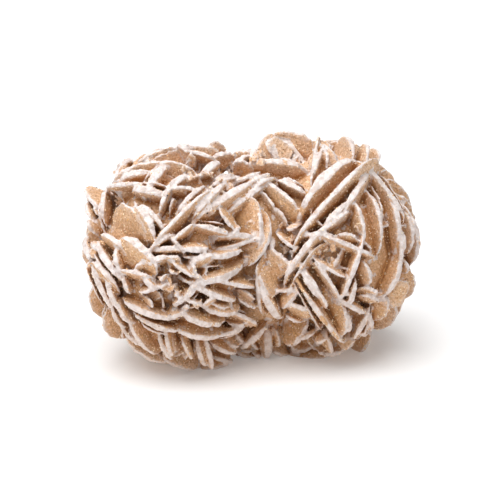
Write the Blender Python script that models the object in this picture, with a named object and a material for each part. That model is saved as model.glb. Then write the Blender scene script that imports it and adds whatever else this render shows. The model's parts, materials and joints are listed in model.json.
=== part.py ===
"""A gypsum sand rose: lens-shaped plates that grew into each other in two lobes, one natural solid.

Run it with blender --background --python part.py, or from Blender's text editor.
The constants are millimetres and degrees. The model is in metres, +Z up, +X along the two lobes,
its show side towards -Y, and its origin on the surface it rests on, below the middle of its box.
"""

import math
import random

import bmesh
import bpy
from mathutils import Matrix, Vector

MM = 0.001
NAME = "sand_rose"

# The lobes and the waist between them, as ellipsoids that the rims of the plates reach:
# centre and half sizes. The sandy mass that the plates stand on fills a share of each.
LEFT_LOBE = (Vector((-18.0, -4.0, 27.2)), Vector((23.5, 25.0, 28.4)))
RIGHT_LOBE = (Vector((19.5, 4.5, 27.4)), Vector((23.0, 25.0, 28.4)))
WAIST = (Vector((2.0, 1.0, 28.0)), Vector((17.0, 19.0, 25.7)))
LOBES = (LEFT_LOBE, RIGHT_LOBE, WAIST)
MASS_SHARE = 0.8
MASS_DETAIL = 2
# Below each lobe and below the waist the mass runs down to the worn patches that the rose rests on.
SOLES = (
    (Vector((-18.0, -4.0, 6.0)), Vector((9.5, 8.5, 7.0))),
    (Vector((19.5, 4.5, 6.0)), Vector((9.5, 8.5, 7.0))),
    (Vector((2.0, 3.0, 9.5)), Vector((12.5, 8.5, 9.8))),
)

# The show side is drawn on a plane through DRAWING_MIDDLE that faces a viewer raised by
# VIEW_RISE, VIEW_DISTANCE away: each point as millimetres right of and above that middle.
DRAWING_MIDDLE = Vector((0.0, 0.0, 27.8))
VIEW_RISE = math.radians(20.0)
VIEW_DISTANCE = 900.0
RIGHT = Vector((1, 0, 0))
UP = Vector((0, math.sin(VIEW_RISE), math.cos(VIEW_RISE)))
TOWARDS = Vector((0, -math.cos(VIEW_RISE), math.sin(VIEW_RISE)))

# A plate of the show side is drawn by its rim: where the rim comes out of the mass, its outermost
# point and where it goes back in, then the thickness of its edge. Two more values are optional:
# how much nearer the viewer the rim's middle is than its ends, and how deep it lies in the lobe.
CROWN_LEFT = [
    ((-33.25, 19.75), (-32.25, 21.75), (-29, 23), 1.6),
    ((-33, 18), (-25, 22.25), (-13.25, 20.25), 1.2, 60),
    ((-28.75, 21.5), (-23.75, 24.75), (-19.5, 25.75), 1.2, 60, 1.5),
    ((-33.25, 16.25), (-30.5, 18.75), (-25.75, 19.25), 1.5),
    ((-25, 15.5), (-23.25, 19.25), (-20.5, 22), 2.4, 12),
    ((-36.25, 15.75), (-32, 16.5), (-26.25, 16.5), 1.2),
    ((-32, 13.75), (-26.25, 15.25), (-21.5, 11.75), 2.2, 14),
    ((-36, 16), (-37, 12.5), (-36.75, 8.5), 1.4),
    ((-20, 25.5), (-17, 26), (-14.75, 23.5), 1.8),
    ((-16, 25), (-12, 24), (-8.75, 22.5), 1.2),
    ((-15.5, 25.75), (-11.75, 26), (-7.75, 24.75), 1.2, 75),
    ((-9.25, 22.5), (-7, 24.25), (-2.5, 24.5), 1.6),
    ((-11.75, 19), (-9.5, 21.25), (-6.5, 22.75), 1.9, 12),
    ((-4.5, 24.5), (-0.75, 25), (2.75, 23.5), 1.6, 60, 1.0),
    ((-22.5, 10.25), (-21.25, 13.75), (-19.5, 16.25), 1.2),
    ((-20, 15.75), (-17.75, 17.75), (-14.75, 19.25), 1.8, 12),
    ((-13, 10.5), (-9.75, 13.75), (-6.5, 17.25), 1.6),
    ((-7.75, 16.75), (-5.5, 18.25), (-0.75, 19), 1.6),
    ((-17.5, 10.25), (-14.5, 14), (-10.75, 16.75), 1.3),
]
SLANTS_LEFT = [
    ((-25.25, 0), (-18.25, 8.25), (-11.75, 14), 1.2, 25),
    ((-13.5, 7.75), (-6.25, 13.5), (1.25, 17), 2.2, 25),
    ((-6, 8.75), (0.25, 14.25), (7.75, 18.75), 1.5, 14),
    ((-30.5, 11.75), (-25.75, 8.25), (-24.25, 1.75), 1.8, 25),
    ((-27.75, 11.75), (-24.5, 9.25), (-21.5, 5.25), 1.3),
]
FLANK_LEFT = [
    ((-41.75, 16), (-40, 12.5), (-36.25, 9.5), 1.3),
    ((-40.75, 12.5), (-41, 10.25), (-39.75, 8), 1.2),
    ((-40.25, 4.75), (-41.5, 1), (-38.75, -3), 1.8),
    ((-38.75, 2.5), (-36.5, -2), (-32.75, -6.75), 1.9),
    ((-33, 0.75), (-33.75, -2.75), (-31.75, -6.75), 1.5),
    ((-37.5, 4.25), (-34.5, 3), (-31.25, 0.25), 1.4),
    ((-39.25, -3), (-36.75, -5), (-33.75, -8), 1.6),
    ((-40.25, -3), (-40.75, -5), (-39.5, -7.25), 1.4, 75, 3.0),
    ((-39.5, -4.5), (-37.5, -9.25), (-34.5, -14.75), 1.6),
    ((-36, -7.25), (-34.75, -11.5), (-32.75, -15.25), 1.4),
    ((-37.25, -3), (-38.25, -6.25), (-36, -10), 1.2, 60, 2.0),
]
MIDDLE_LEFT = [
    ((-32, 3.75), (-27.25, 1), (-24, -3), 2.6, 35),
    ((-24.75, -2.75), (-23, -2), (-20.5, -1.5), 1.4),
    ((-24.25, -0.25), (-20.5, 0.5), (-16.25, 0.25), 1.4),
    ((-26.5, -7), (-25.25, -8.75), (-23.25, -10), 1.6),
    ((-12.5, 6), (-8.5, 5.25), (-4.5, 3.75), 1.5),
    ((-7, 3.5), (-2.5, 3.75), (1.75, 3.25), 1.6),
    ((-8.75, -1.75), (-5, -1.25), (-1.25, 0), 1.6),
    ((-14.25, -3), (-11.75, -1.5), (-8.5, -1), 1.6),
    ((-16, 0), (-13.5, 0), (-10.75, 0), 1.6),
    ((-12.5, -7.5), (-5.75, -6.75), (1, -2.5), 2.0),
    ((4, 7.5), (4.75, 1.75), (-0.5, -5.25), 1.4, 55),
    ((1.5, 12.5), (3, 7), (2.25, 1), 1.1, 60),
]
SHELVES_LEFT = [
    ((-14.5, -8.5), (-8.75, -11.5), (-2.5, -13.25), 1.6),
    ((-8, -7.75), (-3.75, -8.75), (1.25, -9.75), 1.2),
    ((-12, -14), (-7, -16.25), (-2.25, -15.5), 1.6),
    ((-17, -15.25), (-11.75, -18.75), (-5.5, -18.5), 2.0),
    ((-18.75, -19.75), (-12, -22.25), (-6.75, -21), 1.8),
    ((-7.25, -21.25), (-3.25, -20.25), (0, -18), 1.4),
    ((-5, -15.25), (-1.25, -16.75), (2.25, -18.75), 1.2, 16, 0.8),
    ((1.5, -4.5), (1.75, -10.5), (2.75, -15.75), 1.1, 30),
    ((-29, -16), (-23.75, -19.25), (-17.75, -20.25), 1.6),
    ((-33.25, -12), (-26.5, -15.75), (-20.25, -16.75), 1.8),
    ((-33.25, -12.5), (-32, -16.5), (-29.5, -18), 1.4),
    ((-29.75, -17), (-27.75, -23.25), (-22.25, -27.25), 1.4),
    ((-34.5, -14), (-33.5, -17.5), (-30.75, -20.25), 1.2),
    ((-30.5, -22.75), (-26.25, -26.75), (-20.25, -28.5), 1.4, 60, 2.0),
    ((-9.5, -23.25), (-6.5, -25.5), (-2.5, -26.5), 1.3),
    ((-9, -26.75), (-6.5, -27.75), (-3.5, -28.25), 1.2),
    ((-13.25, -23), (-12.5, -26.75), (-11, -30), 1.3),
    ((-11, -22.5), (-10, -26.25), (-9.25, -29.75), 1.3),
    ((-22.5, -21.5), (-21.75, -25), (-19.25, -28.75), 1.3),
    ((-21, -20.5), (-20.5, -24), (-19.25, -27.25), 1.2),
    ((-20.75, -27.5), (-17.5, -29.5), (-13, -30), 1.4, 60, 1.0),
    ((-11.5, -29.75), (-8.5, -29.75), (-4.5, -28), 1.4, 60, 1.0),
    ((-16.5, -12), (-15, -11.25), (-13.5, -9.5), 1.4),
    ((-19.25, -14), (-17.5, -13), (-16, -11.75), 1.4),
    ((-4, -24.5), (-0.75, -27), (2.75, -26), 1.3, 45, 1.5),
]
CROWN_RIGHT = [
    ((1.5, 24), (2.75, 27.25), (4.75, 29), 1.4, 75, 1.0),
    ((3.5, 28.25), (5.25, 26), (6.5, 22.25), 1.6),
    ((4.75, 29), (9.5, 26.75), (13.75, 21.25), 1.6),
    ((6, 29.25), (10.75, 29.5), (15.5, 27.5), 1.4, 75, 1.0),
    ((16.75, 27.75), (16, 23), (15, 16.75), 1.0, 12),
    ((18.25, 27), (17.25, 23.25), (15.75, 19.25), 0.9, 12),
    ((18.5, 26.5), (19.25, 24), (19.25, 21.25), 0.9, 12),
    ((19, 26.5), (20.5, 25), (22, 23), 1.2, 75, 1.0),
    ((-3, 17.25), (6, 22.5), (15.5, 16.75), 1.8),
    ((3, 17.25), (8.25, 14.5), (12.5, 9.75), 1.5, 45),
    ((6.5, 17.75), (10.25, 16.5), (13.5, 14.25), 1.4),
    ((12.25, 8.5), (18.75, 18.5), (27, 23.5), 2.6, 25),
    ((27, 20), (20, 13.25), (9.5, 1), 1.6, 25),
    ((29.25, 19), (26.75, 15.25), (23.75, 11), 1.6),
    ((24, 11.75), (21.5, 9.5), (18.5, 6.25), 1.4),
    ((23.75, 9.25), (20.75, 7), (17.25, 4.25), 1.1),
]
FAN_RIGHT = [
    ((25.5, 12.75), (28.25, 7.5), (28.5, 1.5), 1.2, 30),
    ((27.5, 15.75), (32.75, 7.75), (31.25, -2), 1.3, 30),
    ((28.75, 19), (36.75, 9.25), (33.75, -1.5), 1.6, 30),
    ((27.25, 22.75), (34, 15.75), (38, 9.25), 1.4, 35),
    ((37.75, 10.25), (40.75, 4.75), (39, -1.75), 1.3),
    ((38.25, 10.5), (42, 3), (39.75, -6), 1.5, 35),
    ((37, 7), (38, 0.5), (37, -7.25), 1.2),
    ((37.5, 0.75), (37, -6.5), (32.25, -13), 1.6),
]
MIDDLE_RIGHT = [
    ((20.25, 3), (25.5, 1), (31, -1.25), 1.2),
    ((12.5, 3.5), (17, 4.25), (20.5, 3.5), 1.2),
    ((27.75, 0.25), (25.75, -5.75), (22.75, -13.25), 1.4, 16),
    ((27.75, -3), (30.25, -6.25), (29.25, -10.25), 1.2),
    ((26.25, -9), (25.75, -11.5), (24.75, -14.5), 1.4),
    ((23, -13), (25.75, -14.5), (28.75, -16), 1.4),
    ((16.75, 3.5), (12.5, -1), (6.5, -10.5), 1.7, 25),
    ((4, -10), (5.25, -14.75), (10.25, -20.25), 2.0, 14, -2.0),
    ((12, -9.75), (10.5, -12.75), (7.75, -15), 1.2, 40),
    ((5.5, 0.25), (8, -1.5), (10.25, -4), 1.2, 45),
    ((2.5, -6.5), (3.5, -9.5), (5.5, -12), 1.1, 50),
    ((9, -13.5), (11.75, -14), (14.25, -15.25), 1.3),
    ((12.25, -9.75), (17.75, -16.5), (23, -23.75), 1.5, 12),
    ((13.75, -5.5), (16, -8.25), (17.75, -11.5), 1.1),
    ((19, -6.5), (21.25, -9.75), (23.25, -13.75), 0.9, 12),
]
SKIRT_RIGHT = [
    ((22.75, -13.5), (24.5, -18), (23.25, -23), 1.4),
    ((29.25, -16.25), (27.75, -19.5), (25.5, -23.25), 1.3),
    ((29, -15.5), (30.5, -17.75), (31, -21), 1.3),
    ((33, -12.5), (34.5, -15.5), (30.75, -19), 1.3, 75),
    ((30.5, -19.5), (29, -21.5), (26.75, -20.5), 1.3, 75),
    ((37.75, -8.25), (37.75, -10.5), (36.5, -13), 1.2, 75, 2.0),
    ((3.5, -19), (4.75, -24), (4, -29.25), 2.2, 14, -3.0),
    ((-1.75, -24.75), (0.5, -22.75), (3.25, -20.5), 1.7, 14, -2.0),
    ((13.25, -18.5), (12.5, -22.5), (7.5, -25.75), 1.5, 35),
    ((9.25, -24.75), (12.5, -25.5), (15.75, -24), 1.3),
    ((4.75, -24), (7, -26.25), (9.75, -26.25), 1.3, 45, 1.5),
    ((8.25, -25.5), (13.25, -27.5), (23, -25.5), 1.6, 60, 1.5),
    ((16.25, -25.5), (20.25, -26.25), (24, -24.75), 1.3),
    ((23.25, -25), (25.25, -24.25), (26, -22.25), 1.3, 75),
]
SHOWN = (
    CROWN_LEFT + SLANTS_LEFT + FLANK_LEFT + MIDDLE_LEFT + SHELVES_LEFT
    + CROWN_RIGHT + FAN_RIGHT + MIDDLE_RIGHT + SKIRT_RIGHT
)

SHOWN_TURN = math.radians(14.0)  # how far a plate's face turns towards the viewer, at least
MOST_TURN = math.radians(36.0)
LEAST_ARCH = 0.14  # how far a rim arches between its ends, as a share of half its chord
MOST_ARCH = 0.5
LEAN_SHARE = 0.6  # the most one end of a rim is nearer than the other, as a share of its chord
DEEPEST_HALF = 10.0  # a plate reaches at most this far to either side of its middle
SHALLOWEST_HALF = 3.5
ROUND = 2.0  # a round plate's outline, and that of one with a straight rim, as exponents
SQUARE = 3.6
RAGGED = 0.055  # how far a plate's corners stray from its ellipse, as a share of its size
SIDES = ((4.5, 5), (9.5, 6), (99.0, 8))  # the sides of a plate of up to this half length

# The sides that the drawing does not show carry fans of nested plates: the lobe, the compass
# direction and height of the fan's middle, its roll, the number of plates, their half length.
FANS = [
    (LEFT_LOBE, 88, 8, 20, 4, 12.5),
    (LEFT_LOBE, 128, 30, 75, 3, 11.5),
    (LEFT_LOBE, 138, -18, -35, 3, 12.0),
    (LEFT_LOBE, 168, 8, 95, 3, 10.0),
    (LEFT_LOBE, 100, 52, -50, 3, 10.5),
    (LEFT_LOBE, 92, -36, 85, 3, 10.5),
    (LEFT_LOBE, 150, 60, 10, 3, 8.5),
    (LEFT_LOBE, 188, -38, 60, 3, 9.5),
    (LEFT_LOBE, 120, -60, 40, 3, 9.0),
    (RIGHT_LOBE, 90, 2, -25, 4, 12.0),
    (RIGHT_LOBE, 52, 28, 60, 3, 11.5),
    (RIGHT_LOBE, 45, -22, 15, 3, 12.0),
    (RIGHT_LOBE, 12, 12, -75, 3, 10.0),
    (RIGHT_LOBE, 82, 50, 40, 3, 10.5),
    (RIGHT_LOBE, 94, -40, -80, 3, 10.5),
    (RIGHT_LOBE, 30, 60, -20, 3, 8.5),
    (RIGHT_LOBE, -8, -36, -60, 3, 9.5),
    (RIGHT_LOBE, 70, -60, -40, 3, 9.0),
    (WAIST, 90, 40, 70, 3, 10.0),
    (WAIST, 92, -5, 100, 3, 9.0),
    (WAIST, 88, -45, 60, 3, 9.0),
]
# Low blades that the rose also stands on: right and back of its middle, compass direction of the
# blade's length and its half length.
FEET = [
    (-14.0, -10.0, 20, 6.0),
    (-25.0, 2.0, 70, 7.0),
    (-9.0, 6.0, 150, 7.0),
    (13.0, 1.0, 60, 6.5),
    (27.0, 3.0, 120, 7.0),
    (23.0, 13.0, 30, 7.0),
]
FOOT_EDGE = 1.8
FOOT_MIDDLE = 8.5  # a foot's middle above the surface, and its half height
FOOT_HALF_HEIGHT = 9.0
FAN_EDGE = 1.5
FAN_PITCH = 4.4
FAN_TURN = 10.0  # how much each plate of a fan leans away from the one before it
FAN_UNEVEN = 0.3  # how much the plates of a fan differ, as a share of their pitch, turn and size


def lobe_hit(origin, direction, lobe):
    """Where a ray meets a lobe, or comes closest: the distance, and by how much it meets."""
    centre, half = lobe
    start = Vector([(origin[i] - centre[i]) / half[i] for i in range(3)])
    way = Vector([direction[i] / half[i] for i in range(3)])
    closest = -start.dot(way) / way.dot(way)
    room = closest**2 - (start.dot(start) - 1) / way.dot(way)
    return closest - math.sqrt(max(room, 0.0)), room


def seen(drawn, depth=None, sink=0.0):
    """The point at a drawn place: on the lobes, sunk into them, or at a given depth."""
    eye = DRAWING_MIDDLE + TOWARDS * VIEW_DISTANCE
    sight = (DRAWING_MIDDLE + RIGHT * drawn[0] + UP * drawn[1] - eye).normalized()
    if depth is not None:
        return eye + sight * ((VIEW_DISTANCE - depth) / -sight.dot(TOWARDS))
    hits = [lobe_hit(eye, sight, lobe) for lobe in LOBES]
    met = [distance for distance, room in hits if room > 0]
    nearest = min(met) if met else max(hits, key=lambda hit: hit[1])[0]
    return eye + sight * (nearest + sink)


def depth_of(point):
    """How far a point is in front of the drawing plane."""
    return (point - DRAWING_MIDDLE).dot(TOWARDS)


def lobe_middle(drawn):
    """The drawn middle of the lobe that a drawn place lies on."""
    return min(
        (Vector((lobe[0].x, lobe[0].z - DRAWING_MIDDLE.z)) for lobe in LOBES[:2]),
        key=lambda middle: (middle - Vector(drawn)).length,
    )


def shown_plate(start, tip, end, edge, turn=None, sink=0.0):
    """A plate whose rim runs through three drawn points: middle, axes, half sizes, edge, squareness."""
    chord = Vector(end) - Vector(start)
    half_chord = chord.length / 2
    across = Vector((chord.y, -chord.x)).normalized()
    arch = (Vector(tip) - (Vector(start) + Vector(end)) / 2).dot(across)
    if abs(arch) < 0.05 * half_chord:
        arch = math.copysign(abs(arch), (Vector(tip) - lobe_middle(tip)).dot(across))
    if arch < 0:
        arch, across = -arch, -across
    if turn is None:
        flattest = min(arch / (MOST_ARCH * half_chord), math.sin(MOST_TURN))
        turn = max(SHOWN_TURN, math.asin(flattest))
    else:
        turn = math.radians(turn)
    arch = min(max(arch / max(math.sin(turn), 0.05), LEAST_ARCH * half_chord), 1.6 * half_chord)
    outermost = seen(tip, sink=sink)
    lean = depth_of(seen(start)) - depth_of(seen(end))
    lean = max(-LEAN_SHARE * chord.length, min(LEAN_SHARE * chord.length, lean))
    along = RIGHT * chord.x + UP * chord.y - TOWARDS * lean
    half_chord = along.length / 2
    along.normalize()
    outward = (RIGHT * across.x + UP * across.y) * math.sin(turn) + TOWARDS * math.cos(turn)
    outward = (outward - along * outward.dot(along)).normalized()
    half_deep = min(DEEPEST_HALF, max(0.85 * half_chord, 0.75 * arch, SHALLOWEST_HALF))
    left = max(0.0, 1 - arch / half_deep)
    square = ROUND + (SQUARE - ROUND) * max(0.0, min(1.0, (left - 0.5) / 0.35))
    half_long = half_chord / (1 - left**square) ** (1 / square)
    return outermost - outward * half_deep, along, outward, half_long, half_deep, edge, square


def fan_plates(number, lobe, compass, height, roll, count, half_long):
    """The nested plates of one fan, their rims on the lobe's surface."""
    uneven = random.Random(number)
    centre, half = lobe
    compass = math.radians(compass)
    height = math.radians(height)
    out = Vector(
        (
            math.cos(height) * math.cos(compass),
            math.cos(height) * math.sin(compass),
            math.sin(height),
        )
    )
    surface = centre + Vector([out[i] * half[i] for i in range(3)])
    spin = Matrix.Rotation(math.radians(roll), 3, out)
    along = spin @ out.cross(Vector((0, 0, 1))).normalized()
    across = out.cross(along)
    plates = []
    for index in range(count):
        place = index - (count - 1) / 2 + uneven.uniform(-FAN_UNEVEN, FAN_UNEVEN)
        size = 1 + uneven.uniform(-FAN_UNEVEN, FAN_UNEVEN) * 0.6 - 0.05 * abs(place)
        lean = FAN_TURN * (place + uneven.uniform(-FAN_UNEVEN, FAN_UNEVEN))
        outward = Matrix.Rotation(math.radians(lean), 3, along) @ out
        drift = along * uneven.uniform(-FAN_UNEVEN, FAN_UNEVEN) * half_long
        bow = 0.012 * (FAN_PITCH * place) ** 2
        tip = surface - across * (FAN_PITCH * place) - out * bow + drift
        twist = Matrix.Rotation(uneven.uniform(-FAN_UNEVEN, FAN_UNEVEN) * 0.5, 3, outward)
        half_deep = min(DEEPEST_HALF, half_long * 0.9) * size
        edge = FAN_EDGE * (1 + uneven.uniform(-FAN_UNEVEN, FAN_UNEVEN))
        plates.append((tip - outward * half_deep, twist @ along, outward, half_long * size, half_deep, edge, ROUND))
    return plates


def foot(right, back, compass, half_long):
    """A low blade that stands on the surface below."""
    compass = math.radians(compass)
    along = Vector((math.cos(compass), math.sin(compass), 0))
    middle = Vector((right, back, FOOT_MIDDLE))
    return middle, along, Vector((0, 0, -1)), half_long, FOOT_HALF_HEIGHT, FOOT_EDGE, ROUND


def solid(name, mesh):
    """An object from a bmesh, which is used up."""
    data = bpy.data.meshes.new(name)
    mesh.to_mesh(data)
    mesh.free()
    return bpy.data.objects.new(name, data)


def plate(number, middle, along, outward, half_long, half_deep, edge, square):
    """One plate: a flat many-sided prism, its corners a little uneven."""
    straying = random.Random(number)
    sides = next(count for limit, count in SIDES if half_long <= limit)
    mesh = bmesh.new()
    bmesh.ops.create_circle(mesh, cap_ends=True, segments=sides, radius=1)
    turn = Matrix.Rotation(straying.uniform(0, math.tau), 3, "Z")
    for corner in mesh.verts:
        corner.co = turn @ corner.co
        corner.co *= (abs(corner.co.x) ** square + abs(corner.co.y) ** square) ** (-1 / square)
        corner.co *= 1 + straying.uniform(-RAGGED, RAGGED)
        corner.co.z = -0.5
    raised = bmesh.ops.extrude_face_region(mesh, geom=list(mesh.faces))
    for corner in raised["geom"]:
        if isinstance(corner, bmesh.types.BMVert):
            corner.co.z = 0.5
    normal = along.cross(outward)
    axes = Matrix((along * half_long, outward * half_deep, normal * edge)).transposed()
    for corner in mesh.verts:
        corner.co = (axes @ corner.co + middle) * MM
    bmesh.ops.recalc_face_normals(mesh, faces=mesh.faces)
    return solid(f"plate_{number}", mesh)


def ball(name, centre, half, share):
    """A share of an ellipsoid, faceted."""
    mesh = bmesh.new()
    bmesh.ops.create_icosphere(mesh, subdivisions=MASS_DETAIL, radius=share)
    for corner in mesh.verts:
        corner.co = Vector([(centre[i] + corner.co[i] * half[i]) * MM for i in range(3)])
    return solid(name, mesh)


def grown_together(pieces):
    """The union of closed pieces, as a bmesh."""
    scene = bpy.context.scene
    others = bpy.data.collections.new("others")
    scene.collection.children.link(others)
    scene.collection.objects.link(pieces[0])
    for piece in pieces[1:]:
        others.objects.link(piece)
    union = pieces[0].modifiers.new("grown_together", "BOOLEAN")
    union.operation = "UNION"
    union.operand_type = "COLLECTION"
    union.collection = others
    union.solver = "EXACT"
    evaluated = pieces[0].evaluated_get(bpy.context.evaluated_depsgraph_get())
    mesh = bmesh.new()
    mesh.from_mesh(evaluated.to_mesh())
    evaluated.to_mesh_clear()
    for piece in pieces:
        bpy.data.objects.remove(piece)
    bpy.data.collections.remove(others)
    return mesh


def outer_skin(mesh):
    """Drop everything but the largest closed skin: sealed hollows and loose pieces."""
    unseen = set(mesh.faces)
    skins = []
    while unseen:
        front = [unseen.pop()]
        skin = []
        while front:
            face = front.pop()
            skin.append(face)
            for edge in face.edges:
                for other in edge.link_faces:
                    if other in unseen:
                        unseen.remove(other)
                        front.append(other)
        skins.append(skin)
    skins.sort(key=len)
    for skin in skins[:-1]:
        bmesh.ops.delete(mesh, geom=skin, context="FACES")


def cut_flat(mesh):
    """Cut everything below the surface it rests on away, leaving flat facets there."""
    cut = bmesh.ops.bisect_plane(
        mesh,
        geom=list(mesh.verts) + list(mesh.edges) + list(mesh.faces),
        plane_co=(0, 0, 0),
        plane_no=(0, 0, -1),
        clear_outer=True,
    )
    rims = [item for item in cut["geom_cut"] if isinstance(item, bmesh.types.BMEdge)]
    bmesh.ops.edgenet_fill(mesh, edges=rims)


def sandy_gypsum():
    """The crystals' own material: sandy tan with a matt face."""
    material = bpy.data.materials.new("gypsum")
    material.use_nodes = True
    shader = material.node_tree.nodes["Principled BSDF"]
    shader.inputs["Base Color"].default_value = (0.62, 0.47, 0.34, 1.0)
    shader.inputs["Roughness"].default_value = 0.75
    return material


def sand_rose():
    """The whole rose."""
    frames = [shown_plate(*drawn) for drawn in SHOWN]
    for number, fan in enumerate(FANS):
        frames += fan_plates(number, *fan)
    frames += [foot(*blade) for blade in FEET]
    pieces = [ball("mass", *lobe, MASS_SHARE) for lobe in LOBES]
    pieces += [ball("sole", *sole, 1.0) for sole in SOLES]
    pieces += [plate(number, *frame) for number, frame in enumerate(frames)]
    mesh = grown_together(pieces)
    cut_flat(mesh)
    outer_skin(mesh)
    bmesh.ops.triangulate(mesh, faces=mesh.faces)
    low = Vector([min(corner.co[i] for corner in mesh.verts) for i in range(3)])
    high = Vector([max(corner.co[i] for corner in mesh.verts) for i in range(3)])
    shift = Vector((-(low.x + high.x) / 2, -(low.y + high.y) / 2, -low.z))
    bmesh.ops.translate(mesh, verts=mesh.verts, vec=shift)
    rose = solid(NAME, mesh)
    rose.data.materials.append(sandy_gypsum())
    return rose


def main():
    for old in list(bpy.data.objects):
        bpy.data.objects.remove(old)
    holder = bpy.data.collections.new(NAME)
    bpy.context.scene.collection.children.link(holder)
    holder.objects.link(sand_rose())


main()
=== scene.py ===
import json
import math
import random

import bmesh
import bpy
import numpy as np
from mathutils import Matrix, Vector

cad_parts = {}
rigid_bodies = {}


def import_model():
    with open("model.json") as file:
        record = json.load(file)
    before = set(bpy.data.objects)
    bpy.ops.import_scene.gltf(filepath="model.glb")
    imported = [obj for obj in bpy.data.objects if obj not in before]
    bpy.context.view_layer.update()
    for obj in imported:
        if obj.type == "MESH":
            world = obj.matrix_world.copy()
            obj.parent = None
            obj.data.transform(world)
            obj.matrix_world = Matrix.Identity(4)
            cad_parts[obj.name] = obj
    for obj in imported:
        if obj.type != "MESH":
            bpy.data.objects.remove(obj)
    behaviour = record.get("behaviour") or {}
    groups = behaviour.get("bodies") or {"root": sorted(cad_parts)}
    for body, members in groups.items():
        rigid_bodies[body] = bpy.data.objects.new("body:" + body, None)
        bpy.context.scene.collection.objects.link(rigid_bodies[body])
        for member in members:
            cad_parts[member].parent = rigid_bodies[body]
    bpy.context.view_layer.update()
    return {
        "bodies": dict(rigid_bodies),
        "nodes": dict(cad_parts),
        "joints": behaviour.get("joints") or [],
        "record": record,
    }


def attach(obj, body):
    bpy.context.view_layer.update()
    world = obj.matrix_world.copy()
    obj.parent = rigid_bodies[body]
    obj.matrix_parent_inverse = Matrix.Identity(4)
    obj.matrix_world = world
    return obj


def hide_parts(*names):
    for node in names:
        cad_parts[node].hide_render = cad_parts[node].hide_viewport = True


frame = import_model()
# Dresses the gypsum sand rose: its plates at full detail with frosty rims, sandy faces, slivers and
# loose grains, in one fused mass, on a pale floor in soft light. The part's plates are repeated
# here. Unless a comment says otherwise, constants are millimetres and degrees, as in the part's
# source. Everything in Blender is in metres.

MM = 0.001
NAME = "sand_rose"

# The lobes and the waist between them, as ellipsoids that the rims of the plates reach:
# centre and half sizes. The sandy mass that the plates stand on fills a share of each.
LEFT_LOBE = (Vector((-18.0, -4.0, 27.2)), Vector((23.5, 25.0, 28.4)))
RIGHT_LOBE = (Vector((19.5, 4.5, 27.4)), Vector((23.0, 25.0, 28.4)))
WAIST = (Vector((2.0, 1.0, 28.0)), Vector((17.0, 19.0, 25.7)))
LOBES = (LEFT_LOBE, RIGHT_LOBE, WAIST)
MASS_SHARE = 0.8
# Below each lobe and below the waist the mass runs down to the worn patches that the rose rests on.
SOLES = (
    (Vector((-18.0, -4.0, 6.0)), Vector((9.5, 8.5, 7.0))),
    (Vector((19.5, 4.5, 6.0)), Vector((9.5, 8.5, 7.0))),
    (Vector((2.0, 3.0, 9.5)), Vector((12.5, 8.5, 9.8))),
)

# The show side is drawn on a plane through DRAWING_MIDDLE that faces a viewer raised by
# VIEW_RISE, VIEW_DISTANCE away: each point as millimetres right of and above that middle.
DRAWING_MIDDLE = Vector((0.0, 0.0, 27.8))
VIEW_RISE = math.radians(20.0)
VIEW_DISTANCE = 900.0
RIGHT = Vector((1, 0, 0))
UP = Vector((0, math.sin(VIEW_RISE), math.cos(VIEW_RISE)))
TOWARDS = Vector((0, -math.cos(VIEW_RISE), math.sin(VIEW_RISE)))

# A plate of the show side is drawn by its rim: where the rim comes out of the mass, its outermost
# point and where it goes back in, then the thickness of its edge. Two more values are optional:
# how much nearer the viewer the rim's middle is than its ends, and how deep it lies in the lobe.
CROWN_LEFT = [
    ((-33.25, 19.75), (-32.25, 21.75), (-29, 23), 1.6),
    ((-33, 18), (-25, 22.25), (-13.25, 20.25), 1.2, 60),
    ((-28.75, 21.5), (-23.75, 24.75), (-19.5, 25.75), 1.2, 60, 1.5),
    ((-33.25, 16.25), (-30.5, 18.75), (-25.75, 19.25), 1.5),
    ((-25, 15.5), (-23.25, 19.25), (-20.5, 22), 2.4, 12),
    ((-36.25, 15.75), (-32, 16.5), (-26.25, 16.5), 1.2),
    ((-32, 13.75), (-26.25, 15.25), (-21.5, 11.75), 2.2, 14),
    ((-36, 16), (-37, 12.5), (-36.75, 8.5), 1.4),
    ((-20, 25.5), (-17, 26), (-14.75, 23.5), 1.8),
    ((-16, 25), (-12, 24), (-8.75, 22.5), 1.2),
    ((-15.5, 25.75), (-11.75, 26), (-7.75, 24.75), 1.2, 75),
    ((-9.25, 22.5), (-7, 24.25), (-2.5, 24.5), 1.6),
    ((-11.75, 19), (-9.5, 21.25), (-6.5, 22.75), 1.9, 12),
    ((-4.5, 24.5), (-0.75, 25), (2.75, 23.5), 1.6, 60, 1.0),
    ((-22.5, 10.25), (-21.25, 13.75), (-19.5, 16.25), 1.2),
    ((-20, 15.75), (-17.75, 17.75), (-14.75, 19.25), 1.8, 12),
    ((-13, 10.5), (-9.75, 13.75), (-6.5, 17.25), 1.6),
    ((-7.75, 16.75), (-5.5, 18.25), (-0.75, 19), 1.6),
    ((-17.5, 10.25), (-14.5, 14), (-10.75, 16.75), 1.3),
]
SLANTS_LEFT = [
    ((-25.25, 0), (-18.25, 8.25), (-11.75, 14), 1.2, 25),
    ((-13.5, 7.75), (-6.25, 13.5), (1.25, 17), 2.2, 25),
    ((-6, 8.75), (0.25, 14.25), (7.75, 18.75), 1.5, 14),
    ((-30.5, 11.75), (-25.75, 8.25), (-24.25, 1.75), 1.8, 25),
    ((-27.75, 11.75), (-24.5, 9.25), (-21.5, 5.25), 1.3),
]
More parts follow.
